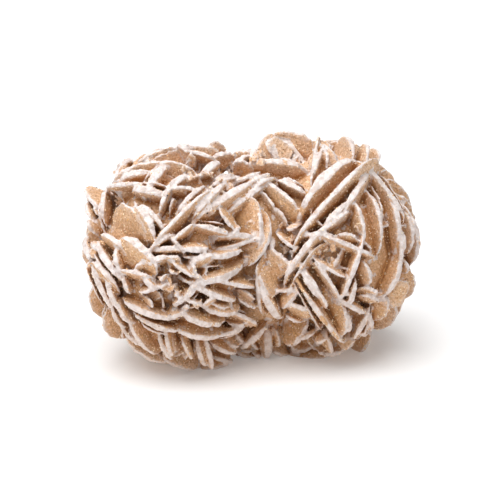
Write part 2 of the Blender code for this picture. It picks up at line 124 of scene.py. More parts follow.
FLANK_LEFT = [
    ((-41.75, 16), (-40, 12.5), (-36.25, 9.5), 1.3),
    ((-40.75, 12.5), (-41, 10.25), (-39.75, 8), 1.2),
    ((-40.25, 4.75), (-41.5, 1), (-38.75, -3), 1.8),
    ((-38.75, 2.5), (-36.5, -2), (-32.75, -6.75), 1.9),
    ((-33, 0.75), (-33.75, -2.75), (-31.75, -6.75), 1.5),
    ((-37.5, 4.25), (-34.5, 3), (-31.25, 0.25), 1.4),
    ((-39.25, -3), (-36.75, -5), (-33.75, -8), 1.6),
    ((-40.25, -3), (-40.75, -5), (-39.5, -7.25), 1.4, 75, 3.0),
    ((-39.5, -4.5), (-37.5, -9.25), (-34.5, -14.75), 1.6),
    ((-36, -7.25), (-34.75, -11.5), (-32.75, -15.25), 1.4),
    ((-37.25, -3), (-38.25, -6.25), (-36, -10), 1.2, 60, 2.0),
]
MIDDLE_LEFT = [
    ((-32, 3.75), (-27.25, 1), (-24, -3), 2.6, 35),
    ((-24.75, -2.75), (-23, -2), (-20.5, -1.5), 1.4),
    ((-24.25, -0.25), (-20.5, 0.5), (-16.25, 0.25), 1.4),
    ((-26.5, -7), (-25.25, -8.75), (-23.25, -10), 1.6),
    ((-12.5, 6), (-8.5, 5.25), (-4.5, 3.75), 1.5),
    ((-7, 3.5), (-2.5, 3.75), (1.75, 3.25), 1.6),
    ((-8.75, -1.75), (-5, -1.25), (-1.25, 0), 1.6),
    ((-14.25, -3), (-11.75, -1.5), (-8.5, -1), 1.6),
    ((-16, 0), (-13.5, 0), (-10.75, 0), 1.6),
    ((-12.5, -7.5), (-5.75, -6.75), (1, -2.5), 2.0),
    ((4, 7.5), (4.75, 1.75), (-0.5, -5.25), 1.4, 55),
    ((1.5, 12.5), (3, 7), (2.25, 1), 1.1, 60),
]
SHELVES_LEFT = [
    ((-14.5, -8.5), (-8.75, -11.5), (-2.5, -13.25), 1.6),
    ((-8, -7.75), (-3.75, -8.75), (1.25, -9.75), 1.2),
    ((-12, -14), (-7, -16.25), (-2.25, -15.5), 1.6),
    ((-17, -15.25), (-11.75, -18.75), (-5.5, -18.5), 2.0),
    ((-18.75, -19.75), (-12, -22.25), (-6.75, -21), 1.8),
    ((-7.25, -21.25), (-3.25, -20.25), (0, -18), 1.4),
    ((-5, -15.25), (-1.25, -16.75), (2.25, -18.75), 1.2, 16, 0.8),
    ((1.5, -4.5), (1.75, -10.5), (2.75, -15.75), 1.1, 30),
    ((-29, -16), (-23.75, -19.25), (-17.75, -20.25), 1.6),
    ((-33.25, -12), (-26.5, -15.75), (-20.25, -16.75), 1.8),
    ((-33.25, -12.5), (-32, -16.5), (-29.5, -18), 1.4),
    ((-29.75, -17), (-27.75, -23.25), (-22.25, -27.25), 1.4),
    ((-34.5, -14), (-33.5, -17.5), (-30.75, -20.25), 1.2),
    ((-30.5, -22.75), (-26.25, -26.75), (-20.25, -28.5), 1.4, 60, 2.0),
    ((-9.5, -23.25), (-6.5, -25.5), (-2.5, -26.5), 1.3),
    ((-9, -26.75), (-6.5, -27.75), (-3.5, -28.25), 1.2),
    ((-13.25, -23), (-12.5, -26.75), (-11, -30), 1.3),
    ((-11, -22.5), (-10, -26.25), (-9.25, -29.75), 1.3),
    ((-22.5, -21.5), (-21.75, -25), (-19.25, -28.75), 1.3),
    ((-21, -20.5), (-20.5, -24), (-19.25, -27.25), 1.2),
    ((-20.75, -27.5), (-17.5, -29.5), (-13, -30), 1.4, 60, 1.0),
    ((-11.5, -29.75), (-8.5, -29.75), (-4.5, -28), 1.4, 60, 1.0),
    ((-16.5, -12), (-15, -11.25), (-13.5, -9.5), 1.4),
    ((-19.25, -14), (-17.5, -13), (-16, -11.75), 1.4),
    ((-4, -24.5), (-0.75, -27), (2.75, -26), 1.3, 45, 1.5),
]
CROWN_RIGHT = [
    ((1.5, 24), (2.75, 27.25), (4.75, 29), 1.4, 75, 1.0),
    ((3.5, 28.25), (5.25, 26), (6.5, 22.25), 1.6),
    ((4.75, 29), (9.5, 26.75), (13.75, 21.25), 1.6),
    ((6, 29.25), (10.75, 29.5), (15.5, 27.5), 1.4, 75, 1.0),
    ((16.75, 27.75), (16, 23), (15, 16.75), 1.0, 12),
    ((18.25, 27), (17.25, 23.25), (15.75, 19.25), 0.9, 12),
    ((18.5, 26.5), (19.25, 24), (19.25, 21.25), 0.9, 12),
    ((19, 26.5), (20.5, 25), (22, 23), 1.2, 75, 1.0),
    ((-3, 17.25), (6, 22.5), (15.5, 16.75), 1.8),
    ((3, 17.25), (8.25, 14.5), (12.5, 9.75), 1.5, 45),
    ((6.5, 17.75), (10.25, 16.5), (13.5, 14.25), 1.4),
    ((12.25, 8.5), (18.75, 18.5), (27, 23.5), 2.6, 25),
    ((27, 20), (20, 13.25), (9.5, 1), 1.6, 25),
    ((29.25, 19), (26.75, 15.25), (23.75, 11), 1.6),
    ((24, 11.75), (21.5, 9.5), (18.5, 6.25), 1.4),
    ((23.75, 9.25), (20.75, 7), (17.25, 4.25), 1.1),
]
FAN_RIGHT = [
    ((25.5, 12.75), (28.25, 7.5), (28.5, 1.5), 1.2, 30),
    ((27.5, 15.75), (32.75, 7.75), (31.25, -2), 1.3, 30),
    ((28.75, 19), (36.75, 9.25), (33.75, -1.5), 1.6, 30),
    ((27.25, 22.75), (34, 15.75), (38, 9.25), 1.4, 35),
    ((37.75, 10.25), (40.75, 4.75), (39, -1.75), 1.3),
    ((38.25, 10.5), (42, 3), (39.75, -6), 1.5, 35),
    ((37, 7), (38, 0.5), (37, -7.25), 1.2),
    ((37.5, 0.75), (37, -6.5), (32.25, -13), 1.6),
]
MIDDLE_RIGHT = [
    ((20.25, 3), (25.5, 1), (31, -1.25), 1.2),
    ((12.5, 3.5), (17, 4.25), (20.5, 3.5), 1.2),
    ((27.75, 0.25), (25.75, -5.75), (22.75, -13.25), 1.4, 16),
    ((27.75, -3), (30.25, -6.25), (29.25, -10.25), 1.2),
    ((26.25, -9), (25.75, -11.5), (24.75, -14.5), 1.4),
    ((23, -13), (25.75, -14.5), (28.75, -16), 1.4),
    ((16.75, 3.5), (12.5, -1), (6.5, -10.5), 1.7, 25),
    ((4, -10), (5.25, -14.75), (10.25, -20.25), 2.0, 14, -2.0),
    ((12, -9.75), (10.5, -12.75), (7.75, -15), 1.2, 40),
    ((5.5, 0.25), (8, -1.5), (10.25, -4), 1.2, 45),
    ((2.5, -6.5), (3.5, -9.5), (5.5, -12), 1.1, 50),
    ((9, -13.5), (11.75, -14), (14.25, -15.25), 1.3),
    ((12.25, -9.75), (17.75, -16.5), (23, -23.75), 1.5, 12),
    ((13.75, -5.5), (16, -8.25), (17.75, -11.5), 1.1),
    ((19, -6.5), (21.25, -9.75), (23.25, -13.75), 0.9, 12),
]
SKIRT_RIGHT = [
    ((22.75, -13.5), (24.5, -18), (23.25, -23), 1.4),
    ((29.25, -16.25), (27.75, -19.5), (25.5, -23.25), 1.3),
    ((29, -15.5), (30.5, -17.75), (31, -21), 1.3),
    ((33, -12.5), (34.5, -15.5), (30.75, -19), 1.3, 75),
    ((30.5, -19.5), (29, -21.5), (26.75, -20.5), 1.3, 75),
    ((37.75, -8.25), (37.75, -10.5), (36.5, -13), 1.2, 75, 2.0),
    ((3.5, -19), (4.75, -24), (4, -29.25), 2.2, 14, -3.0),
    ((-1.75, -24.75), (0.5, -22.75), (3.25, -20.5), 1.7, 14, -2.0),
    ((13.25, -18.5), (12.5, -22.5), (7.5, -25.75), 1.5, 35),
    ((9.25, -24.75), (12.5, -25.5), (15.75, -24), 1.3),
    ((4.75, -24), (7, -26.25), (9.75, -26.25), 1.3, 45, 1.5),
    ((8.25, -25.5), (13.25, -27.5), (23, -25.5), 1.6, 60, 1.5),
    ((16.25, -25.5), (20.25, -26.25), (24, -24.75), 1.3),
    ((23.25, -25), (25.25, -24.25), (26, -22.25), 1.3, 75),
]
SLIVERS = [
    ((-9, 27), (-7.25, 26.75), (-5.75, 25.25), 1.0, 75),
    ((-20.5, 15), (-16.75, 15.75), (-11.75, 14.75), 1.0),
    ((-18.75, 3), (-16.75, 4.75), (-14.5, 6.5), 1.0),
    ((-35.5, 12.5), (-28.25, 9.25), (-27.25, 1.75), 1.0, 35, 1.5),
    ((-25.5, 0), (-22.5, 2.25), (-20, 3.5), 1.0),
    ((-39.75, 8.25), (-40.5, 6.5), (-39.5, 5), 1.2),
    ((-40, 2), (-39.25, 0.75), (-37.75, -0.25), 1.0),
    ((-31.75, -7), (-31.25, -9), (-30.5, -10.75), 1.2),
    ((-29, -4.5), (-27.25, -3.25), (-24.25, -3), 1.0),
    ((-32.5, -5), (-29, -5.5), (-25, -6.5), 1.0),
    ((-28, -10.75), (-25, -10.25), (-21.5, -8.5), 1.0),
    ((-4.75, 3.75), (-3, 4.75), (-2.5, 6.5), 1.0),
    ((-7.25, 9.25), (-5.75, 7), (-3.75, 4.75), 1.0),
    ((-5.5, 0.5), (-1, 1.75), (3.25, 3), 1.0),
    ((-19, 2.5), (-17.75, 1.25), (-16.5, -0.25), 0.9),
    ((2.5, 9.75), (3, 6), (3, 2.25), 0.9),
    ((-32.25, -19), (-30.25, -22), (-27.25, -24.25), 1.0),
    ((-16.75, -23), (-15.75, -25.5), (-14.25, -28), 1.0),
    ((6.75, 23), (9.5, 22.5), (12.25, 21.25), 1.0),
    ((38.25, 4.5), (38.75, 1.75), (38.25, -1), 1.0),
    ((36.5, -7.25), (38, -7.5), (39.75, -8), 1.0, 75, 1.5),
    ((21.5, 3), (25, 4), (28, 1.5), 1.0),
    ((29.5, -9.5), (31, -10), (32.5, -11.25), 1.1),
    ((7, 3.5), (8.5, 2.25), (10.25, 0.75), 1.0),
    ((6.25, -10.25), (9, -10.25), (12, -9.5), 1.0),
    ((13.25, -6.75), (14.75, -9), (16.5, -12), 1.0),
    ((17.5, -11.25), (18.75, -12.75), (19.75, -15.25), 1.0),
    ((17, -3.25), (20, -5), (23.5, -7), 1.0),
    ((17.25, -4), (18.25, -5.25), (19.25, -6.75), 0.9),
    ((24.25, -15.5), (25.25, -18.5), (25, -20.75), 0.9),
    ((35, -11.75), (36.5, -13.25), (34.5, -15.5), 1.2, 75, 2.0),
    ((12.5, -22.5), (13.75, -22), (15, -21.5), 1.0),
    ((16.5, -23), (17.5, -23.25), (19, -22.25), 1.1),
    ((0.5, -25.25), (2, -26.75), (3.75, -25.5), 1.2),
    ((-3, 17.25), (-0.75, 18.25), (2, 19.5), 1.2, 14),
    ((-0.75, 16.5), (2, 18), (5, 19.25), 1.0, 14),
    ((1.5, 15.75), (4, 17.5), (7.25, 18.5), 0.9, 14),
    ((-2.5, -24.25), (-1, -25.5), (0.75, -25), 1.0),
    ((-6, -22.5), (-4, -24.25), (-1.75, -23.75), 1.0),
    ((-3.5, 21.75), (-2.25, 23.25), (0.5, 24.25), 1.2),
    ((-5, 20.5), (-2.75, 22.5), (-0.75, 20.75), 1.2),
    ((-20.25, -16.75), (-18.25, -16.5), (-16.5, -15.25), 1.2),
    ((38.25, -3), (39.75, -4.5), (39, -7), 1.2),
    ((29.25, -11.5), (31, -12), (33, -13), 1.1),
    ((19.5, -22), (20.25, -24), (20.75, -26), 1.1),
    ((-3.5, -21.25), (-2.25, -22.75), (-1, -24), 0.9),
    ((-0.5, -22), (0.75, -24), (3, -25.5), 0.9),
    ((6.5, -20.25), (7.5, -22.5), (7.25, -25), 0.9),
    ((8.5, -16), (10.5, -17.5), (12.5, -18), 0.9),
    ((-1.75, -10), (0, -11), (1.5, -12.5), 0.8, 30, 1.5),
    ((-2.25, -13), (-0.5, -14), (1.5, -14.75), 0.9, 30, 1.0),
    ((4.5, 4.5), (5.5, 2), (5, -1), 0.9, 30, 1.5),
    ((3, 14.5), (5, 12.5), (6.5, 9.5), 0.9, 30, 2.0),
    ((5.5, 11), (8, 9), (9.5, 6), 0.9, 30, 2.0),
    ((8.5, 5.75), (9.75, 5), (11.25, 6), 0.9, 14),
    ((-5.25, -18), (-2.5, -19), (-0.5, -17.5), 0.8, 30, 1.0),
    ((-20, -1.75), (-18.75, -1.5), (-17.25, -2), 0.9),
    ((-19.5, -3), (-16.75, -5.25), (-14, -6.75), 1.0, 20),
    ((-14.75, -2.75), (-13.75, -4.75), (-14, -6.75), 1.0, 20),
    ((-13, -6.25), (-12, -7.5), (-11.25, -8.5), 1.0),
    ((-20, -4.5), (-19.5, -5.75), (-18.25, -5.25), 0.8, 14),
    ((-22.5, -7.75), (-22, -7), (-21.25, -6.25), 0.7),
    ((-22.5, -9.75), (-22, -9), (-21.25, -8.5), 0.8),
    ((-16.75, -12.5), (-15.75, -11.5), (-15, -10), 1.2, 14),
    ((-18.5, -10.5), (-17.75, -12), (-16.5, -13.5), 0.9, 14),
    ((-15, -9.5), (-14, -8.75), (-12.75, -8.5), 1.2, 14),
    ((-16, -12.5), (-14, -13.25), (-12.25, -13.75), 0.9),
    ((-16.5, -15.25), (-15.75, -14), (-15, -15.5), 1.0, 14),
    ((-25, -12.5), (-24.5, -13.5), (-24.25, -14.5), 0.8),
    ((-11.25, -13.25), (-10.25, -12.5), (-9, -11.75), 0.8),
    ((16.5, -3.5), (19.25, -6.75), (21.25, -10), 1.0, 12),
    ((14.25, -6.25), (15.25, -8.25), (16.5, -10.5), 1.0, 12),
]
SHOWN = (
    CROWN_LEFT + SLANTS_LEFT + FLANK_LEFT + MIDDLE_LEFT + SHELVES_LEFT
    + CROWN_RIGHT + FAN_RIGHT + MIDDLE_RIGHT + SKIRT_RIGHT
)

SHOWN_TURN = math.radians(14.0)  # how far a plate's face turns towards the viewer, at least
MOST_TURN = math.radians(36.0)
LEAST_ARCH = 0.14  # how far a rim arches between its ends, as a share of half its chord
MOST_ARCH = 0.5
FULLEST_ARCH = 1.6  # the most that an arch seen foreshortened is opened to
STRAIGHT = 0.05  # a rim that arches less bulges away from the middle of its lobe
EDGE_ON = 0.05  # the least that the sine of a turn is taken as
LEAN_SHARE = 0.6  # the most one end of a rim is nearer than the other, as a share of its chord
DEEPEST_HALF = 10.0  # a plate reaches at most this far to either side of its middle
SHALLOWEST_HALF = 3.5
DEEP_OF_CHORD = 0.85  # a plate's half depth is at least these shares of half its chord and of its arch
DEEP_OF_ARCH = 0.75
ROUND = 2.0  # a round plate's outline, and that of one with a straight rim, as exponents
SQUARE = 3.6
SQUARE_FROM = 0.5  # how far out its rim's ends are when a plate starts to be square, and until when
SQUARE_OVER = 0.35

# The sides that the drawing does not show carry fans of nested plates: the lobe, the compass
# direction and height of the fan's middle, its roll, the number of plates, their half length.
FANS = [
    (LEFT_LOBE, 88, 8, 20, 4, 12.5),
    (LEFT_LOBE, 128, 30, 75, 3, 11.5),
    (LEFT_LOBE, 138, -18, -35, 3, 12.0),
    (LEFT_LOBE, 168, 8, 95, 3, 10.0),
    (LEFT_LOBE, 100, 52, -50, 3, 10.5),
    (LEFT_LOBE, 92, -36, 85, 3, 10.5),
    (LEFT_LOBE, 150, 60, 10, 3, 8.5),
    (LEFT_LOBE, 188, -38, 60, 3, 9.5),
    (LEFT_LOBE, 120, -60, 40, 3, 9.0),
    (RIGHT_LOBE, 90, 2, -25, 4, 12.0),
    (RIGHT_LOBE, 52, 28, 60, 3, 11.5),
    (RIGHT_LOBE, 45, -22, 15, 3, 12.0),
    (RIGHT_LOBE, 12, 12, -75, 3, 10.0),
    (RIGHT_LOBE, 82, 50, 40, 3, 10.5),
    (RIGHT_LOBE, 94, -40, -80, 3, 10.5),
    (RIGHT_LOBE, 30, 60, -20, 3, 8.5),
    (RIGHT_LOBE, -8, -36, -60, 3, 9.5),
    (RIGHT_LOBE, 70, -60, -40, 3, 9.0),
    (WAIST, 90, 40, 70, 3, 10.0),
    (WAIST, 92, -5, 100, 3, 9.0),
    (WAIST, 88, -45, 60, 3, 9.0),
]
# Low blades that the rose also stands on: right and back of its middle, compass direction of the
# blade's length and its half length.
FEET = [
    (-14.0, -10.0, 20, 6.0),
    (-25.0, 2.0, 70, 7.0),
    (-9.0, 6.0, 150, 7.0),
    (13.0, 1.0, 60, 6.5),
    (27.0, 3.0, 120, 7.0),
    (23.0, 13.0, 30, 7.0),
]
FOOT_EDGE = 1.8
FOOT_MIDDLE = 8.5  # a foot's middle above the surface, and its half height
FOOT_HALF_HEIGHT = 9.0
FAN_EDGE = 1.5
FAN_PITCH = 4.4
FAN_TURN = 10.0  # how much each plate of a fan leans away from the one before it
FAN_UNEVEN = 0.3  # how much its plates differ, as a share of their pitch, turn, length and edge
FAN_UNEVEN_SIZE = 0.6  # how much of that their size takes, and their twist in radians
FAN_UNEVEN_TWIST = 0.5
FAN_SHRINK = 0.05  # how much smaller a plate is for each place from the fan's middle
FAN_BOW = 0.012  # how far a plate lies back, for its distance from the fan's middle squared
FAN_DEEP = 0.9  # a plate's half depth over its half length
SHIFT = (-0.4057, -0.2703, 0.0)  # from the drawing's place to the frame's

# ---- the shapes' fine detail
VOXEL = 0.26  # the fineness of the fused surface
FINE_TRIANGLES = 800_000  # what is kept of it
PIECE_LIMIT = 190_000  # triangles in one piece
TINY = 1e-12
HASH_PRIMES = (73856093, 19349663, 83492791, 2654435761, 1274126177)
HASH_MASK = 0xFFFFF

RIM_POINTS = 56  # points round a plate's rim
RINGS = (0.3, 0.55, 0.76, 0.9, 0.98)  # the rings of a plate's faces, as shares of its size
WALL = 0.5  # the height of a rim's upright band, as a share of its edge
END_EDGE = 0.15  # how thick a plate's rim is at its ends, as a share of its edge
END_TAPER = (1.9, 0.8)  # the exponents of the curve along which it thins towards them
BELLY = 1.12  # a plate's thickness at its middle, over that of its edge
LAST_RING_HEIGHT = 0.93  # of the outermost ring, so that the rim is rounded off
RIM_SIZE = 0.985  # the mean reach of an uneven rim
# Waves round a rim: how often they go round, and their strength, which for broad ones is over how
# often, and for fine ones over the plate's size. The last are those of its thickness.
BROAD_WAVES = range(2, 7)
BROAD_WAVE = 0.04
FINE_WAVES = range(9, 22)
FINE_WAVE = 0.045
THICK_WAVES = range(1, 12)
THICK_WAVE = 0.035
THICK_RANGE = (0.7, 1.3)

BALL_DETAIL = 5  # subdivisions of an ellipsoid of the mass
# Layers of lumps, each as its height, the size of its lumps and its seed: on the mass, all over the
# skin, on the rims, and on the clotted gaps between them, from how deep in they start.
MASS_LUMPS = ((0.7, 4.0, 5),)
SKIN_LUMPS = ((0.05, 0.7, 11), (0.05, 0.4, 12))
RIM_LUMPS = ((0.05, 1.0, 13), (0.05, 0.5, 14))
GAP_LUMPS = ((0.2, 1.6, 15), (0.12, 0.8, 16))
GAP_DEEP = (0.55, 1.0)
RESTING_CALM = (0.0, 2.5)  # heights between which the lumps grow from nothing, above the floor

# Small broken blades strewn between the plates, on all sides and then on the sides that aren't
# drawn: seed, how many, the lobes, their half length, and the share left out where plates are drawn.
SHARDS = (
    (77, 600, LOBES[:2], (1.0, 4.2), 0.6),
    (80, 650, LOBES, (1.4, 5.6), 1.0),
)
SHARD_EDGE = (0.3, 0.75)
SHARD_DEEP = (0.8, 1.6)  # half depth over half length
SHARD_REACH = (0.82, 0.95)  # how far out a shard's tip is, as a share of its lobe
SHARD_LEAN = 0.25
SHARD_SHAPES = (1.15, 1.3, 2.0)  # pointed, pointed and round outlines, as exponents
SHOWN_FACING = 0.25  # how squarely a direction faces the viewer where plates are drawn

# Beds of crumbs on the show side: a drawn place, how far they spread and how many there are.
CRUMB_BEDS = (
    ((2.2, 23.5), 1.4, 22),
    ((-14.2, 19.0), 1.8, 22),
    ((-32.0, 19.0), 1.2, 8),
    ((-11.2, 11.2), 1.0, 10),
    ((-7.8, 14.2), 1.0, 12),
    ((-4.5, 16.8), 1.2, 14),
    ((-15.0, -12.5), 2.5, 8),
    ((-19.5, -8.8), 2.5, 8),
    ((4.5, 4.0), 3.0, 14),
    ((8.8, 0.0), 2.5, 10),
    ((21.2, 0.0), 3.0, 14),
    ((12.5, -1.2), 2.5, 12),
)
CRUMB_SEED = 78
CRUMB_LONG = (0.5, 1.4)
CRUMB_DEEP = (0.6, 1.2)  # half depth over half length
CRUMB_EDGE = (0.35, 0.8)
CRUMB_SINK = (0.8, 4.0)

ECHO_SEED = 79
ECHO_SHARE = 0.3  # how many of the drawn plates have a thinner blade beside them
ECHO_GAP = (0.7, 1.5)
ECHO_DRIFT = 0.3  # the most a blade is moved along its plate, as a share of its half length
ECHO_SINK = (0.5, 1.6)
ECHO_EDGE = (0.4, 0.75)
ECHO_SIZE = (0.55, 0.85)  # as a share of the plate's length
ECHO_TWIST = 0.15  # in radians

GRAIN_SEED = 31
GRAINS = 19_000  # loose grains of sand stuck on the faces
GRAIN_HALF = (0.11, 0.26)
GRAIN_STRETCH = (0.7, 1.3)
GRAIN_OUT = 0.04  # how far a grain's middle is in front of the skin
GRAIN_LOWEST = 1.5  # the height from which there are grains
GRAIN_ON_TOP = 0.25  # how many are on the outermost places, over how many more are in the gaps
GRAIN_SHY = 0.95  # the share that keeps off the rims
OCTAHEDRON = ((1, 0, 0), (0, 1, 0), (-1, 0, 0), (0, -1, 0), (0, 0, 1), (0, 0, -1))

# ---- the values painted on the skin
# A point is on a plate's face or its rim's wall when it is near enough to it and faces its way.
PLATE_REACH = 1.35  # how far from a plate's middle its points are looked for, over its half size
RIM_SKIN = 0.32  # how far from a face its points are
FACE_REACH = 1.1  # how far out a face goes, over its outline
FACE_FACING = 0.55
WALL_SKIN = 0.22  # how far beside a rim the points of its wall are
WALL_BAND = 1.6  # how far in and out they are, over RIM_SKIN
WALL_FACING = 0.76
FACE_FROST = 0.52  # how frosted a face is next to its rim
RIM_BAND = 1.2  # how far in that frost fades, and the most of it, as a share of a half depth
RIM_BAND_SHARE = 0.45
CRUMB_FROST = 0.5
TINT_SEED = 3
UNTINTED = 0.5
FAR = 9.0  # further than any face or depth that is looked for
DEEPEST_GAP = 5.5  # how deep below the lobes' reach the mass lies

# How hemmed in a point is, from a grid of the rose's box: the material paints shade in the gaps from
# it.
GRID_LOW = np.array([-46.0, -33.0, -3.0])
GRID_CELL = 0.5
GRID_SHAPE = (186, 132, 126)
CROWD_REACH = 2  # how many cells it is blurred by, twice
CROWD_OUT = 1.3  # how far in front of the skin it is read
CROWD_RANGE = (0.18, 0.62)
LAST_CELL = 1.001  # so that the cell after a point's own is still in the grid

# ---- colours
FACE_TAN = (0.80, 0.50, 0.29, 1)
FACE_OCHRE = (0.72, 0.42, 0.20, 1)
FACE_PALE = (0.84, 0.62, 0.44, 1)
FACE_HONEY = (0.58, 0.27, 0.09, 1)
# a pale face colour painted at the crown as light from above
FACE_LIT_PALE = (0.88, 0.68, 0.52, 1)
# the deep gaps' brown: partly the sand's own colour, partly painted shade
GAP_BROWN_AND_SHADE = (0.24, 0.10, 0.035, 1)
RIM_CREAM = (0.86, 0.79, 0.77, 1)
RIM_GREY = (0.66, 0.56, 0.52, 1)
GRAIN_DARK = (0.42, 0.21, 0.09, 1)
GRAIN_ORANGE = (0.80, 0.48, 0.20, 1)
GRAIN_BLACK = (0.03, 0.02, 0.02, 1)
# a painted glint: bright specks painted into the colour of faces and grains
PAINTED_GLINT = (0.98, 0.84, 0.62, 1)
WHITE = (1, 1, 1, 1)
FLOOR_GREY = (0.86, 0.86, 0.86, 1)

# Patterns, as how many of their features there are in a metre, and how detailed they are.
PATCHES = (150, 3)
MOTTLE = (700, 3)
RAGGED = (1500, 3)
WORN = (1300, 2)
SANDY = 2600
SPECKLED = 1900
# Spans: the values between which something changes, then how strong it is at each. CROWN and SKIRT
# are heights in metres.
CROWN = (0.036, 0.054)
SKIRT = (0.002, 0.034)
OCHRE_PATCHES = (0.35, 0.65)
PALE_PLATES = (0.0, 1.0, 0.0, 0.5)
HONEY_MOTTLE = (0.4, 0.65, 0.0, 0.45)
# painted light that shines through the thin crown plates lessens the gaps' painted shade there
CROWN_LIGHT_IN_GAPS = (*CROWN, 1.0, 0.6)
LIT_PALE_CROWN = (*CROWN, 0.0, 0.3)
HONEY_GAPS_AND_SHADE = (0.15, 0.6)
BROWN_GAPS_AND_SHADE = (0.5, 1.0)
DARK_SAND = (0.2, 1.0, 0.0, 0.72)
RAGGED_RIMS = (0.3, 0.7, -0.15, 0.15)
FROST_EDGE = (0.02, 0.95)
WORN_FROST = (0.3, 0.5, 0.82, 1.0)
# inner rims dimmer, partly less frost and partly painted shade; low rims darker, painted shade
GAP_FROST_AND_SHADE = (0.25, 0.85, 1.0, 0.25)
SKIRT_RIM_SHADE = (*SKIRT, 0.72, 1.0)
GREY_MOTTLE = (0.35, 0.6)
GREY_PLATES = (0.0, 1.0, 0.0, 0.25)
SPECK_ROUGHNESS = (0.0, 1.0, 0.9, 0.4)
GLINT_ABOVE = 0.88
GLINT_SHARE = 0.5
SAND_BUMP = {"Strength": 0.8, "Distance": 0.0003}
PALE_GRAINS = (0.1, 0.5)
ORANGE_GRAINS = (0.6, 0.65)
DARK_GRAINS = (0.8, 0.85)
BLACK_GRAINS = (0.985, 0.99)
SHADED_SUNK_GRAINS = (0.3, 1.0, 0.0, 0.7)
GRAIN_ROUGHNESS = 0.35
FLOOR_ROUGHNESS = 0.7
FLOOR_GLOW = (0.45, 0.8, 0.5, 0.16)

# ---- camera and light, in metres
SENSOR = 36.0  # mm
FRAME_WIDTH = 125.0  # mm in view at the rose
CLIP_END = 10
FLOOR_SIZE = 4
SURROUNDING = 0.31
LIGHTS = (
    ("overhead", (-0.12, -0.12, 0.62), 0.75, 6.7),
    ("front", (-0.30, -0.75, 0.40), 0.6, 0.5),
)


# ---- the plates' places
def square_to(way, along):
    """The part of a way that is at right angles to another, as a direction."""
    return (way - along * way.dot(along)).normalized()


def any_way(chance):
    """A random vector, as likely in every direction."""
    return Vector([chance.gauss(0, 1) for _ in range(3)])


def on_lobe(lobe, out, reach=1.0):
    """The point of a lobe in a direction, at a share of its reach."""
    centre, half = lobe
    return centre + Vector([out[i] * half[i] for i in range(3)]) * reach


def lobe_hit(origin, direction, lobe):
    """Where a ray meets a lobe, or comes closest: the distance, and by how much it meets."""
    centre, half = lobe
    start = Vector([(origin[i] - centre[i]) / half[i] for i in range(3)])
    way = Vector([direction[i] / half[i] for i in range(3)])
    closest = -start.dot(way) / way.dot(way)
    room = closest**2 - (start.dot(start) - 1) / way.dot(way)
    return closest - math.sqrt(max(room, 0.0)), room


def seen(drawn, sink=0.0):
    """The point of the lobes at a drawn place, sunk into them by a distance."""
    eye = DRAWING_MIDDLE + TOWARDS * VIEW_DISTANCE
    sight = (DRAWING_MIDDLE + RIGHT * drawn[0] + UP * drawn[1] - eye).normalized()
    hits = [lobe_hit(eye, sight, lobe) for lobe in LOBES]
    met = [distance for distance, room in hits if room > 0]
    nearest = min(met) if met else max(hits, key=lambda hit: hit[1])[0]
    return eye + sight * (nearest + sink)


def depth_of(point):
    """How far a point is in front of the drawing plane."""
    return (point - DRAWING_MIDDLE).dot(TOWARDS)


def lobe_middle(drawn):
    """The drawn middle of the lobe that a drawn place lies on."""
    return min(
        (Vector((lobe[0].x, lobe[0].z - DRAWING_MIDDLE.z)) for lobe in LOBES[:2]),
        key=lambda middle: (middle - Vector(drawn)).length,
    )


def shown_plate(start, tip, end, edge, turn=None, sink=0.0):
    """A plate whose rim runs through three drawn points: middle, axes, half sizes, edge, squareness."""
    chord = Vector(end) - Vector(start)
    half_chord = chord.length / 2
    across = Vector((chord.y, -chord.x)).normalized()
    arch = (Vector(tip) - (Vector(start) + Vector(end)) / 2).dot(across)
    if abs(arch) < STRAIGHT * half_chord:
        arch = math.copysign(abs(arch), (Vector(tip) - lobe_middle(tip)).dot(across))
    if arch < 0:
        arch, across = -arch, -across
    if turn is None:
        flattest = min(arch / (MOST_ARCH * half_chord), math.sin(MOST_TURN))
        turn = max(SHOWN_TURN, math.asin(flattest))
    else:
        turn = math.radians(turn)
    opened = max(arch / max(math.sin(turn), EDGE_ON), LEAST_ARCH * half_chord)
    arch = min(opened, FULLEST_ARCH * half_chord)
    outermost = seen(tip, sink=sink)
    lean = depth_of(seen(start)) - depth_of(seen(end))
    lean = max(-LEAN_SHARE * chord.length, min(LEAN_SHARE * chord.length, lean))
    along = RIGHT * chord.x + UP * chord.y - TOWARDS * lean
    half_chord = along.length / 2
    along.normalize()
    outward = (RIGHT * across.x + UP * across.y) * math.sin(turn) + TOWARDS * math.cos(turn)
    outward = square_to(outward, along)
    deep = max(DEEP_OF_CHORD * half_chord, DEEP_OF_ARCH * arch, SHALLOWEST_HALF)
    half_deep = min(DEEPEST_HALF, deep)
    left = max(0.0, 1 - arch / half_deep)
    square = ROUND + (SQUARE - ROUND) * max(0.0, min(1.0, (left - SQUARE_FROM) / SQUARE_OVER))
    half_long = half_chord / (1 - left**square) ** (1 / square)
    return outermost - outward * half_deep, along, outward, half_long, half_deep, edge, square


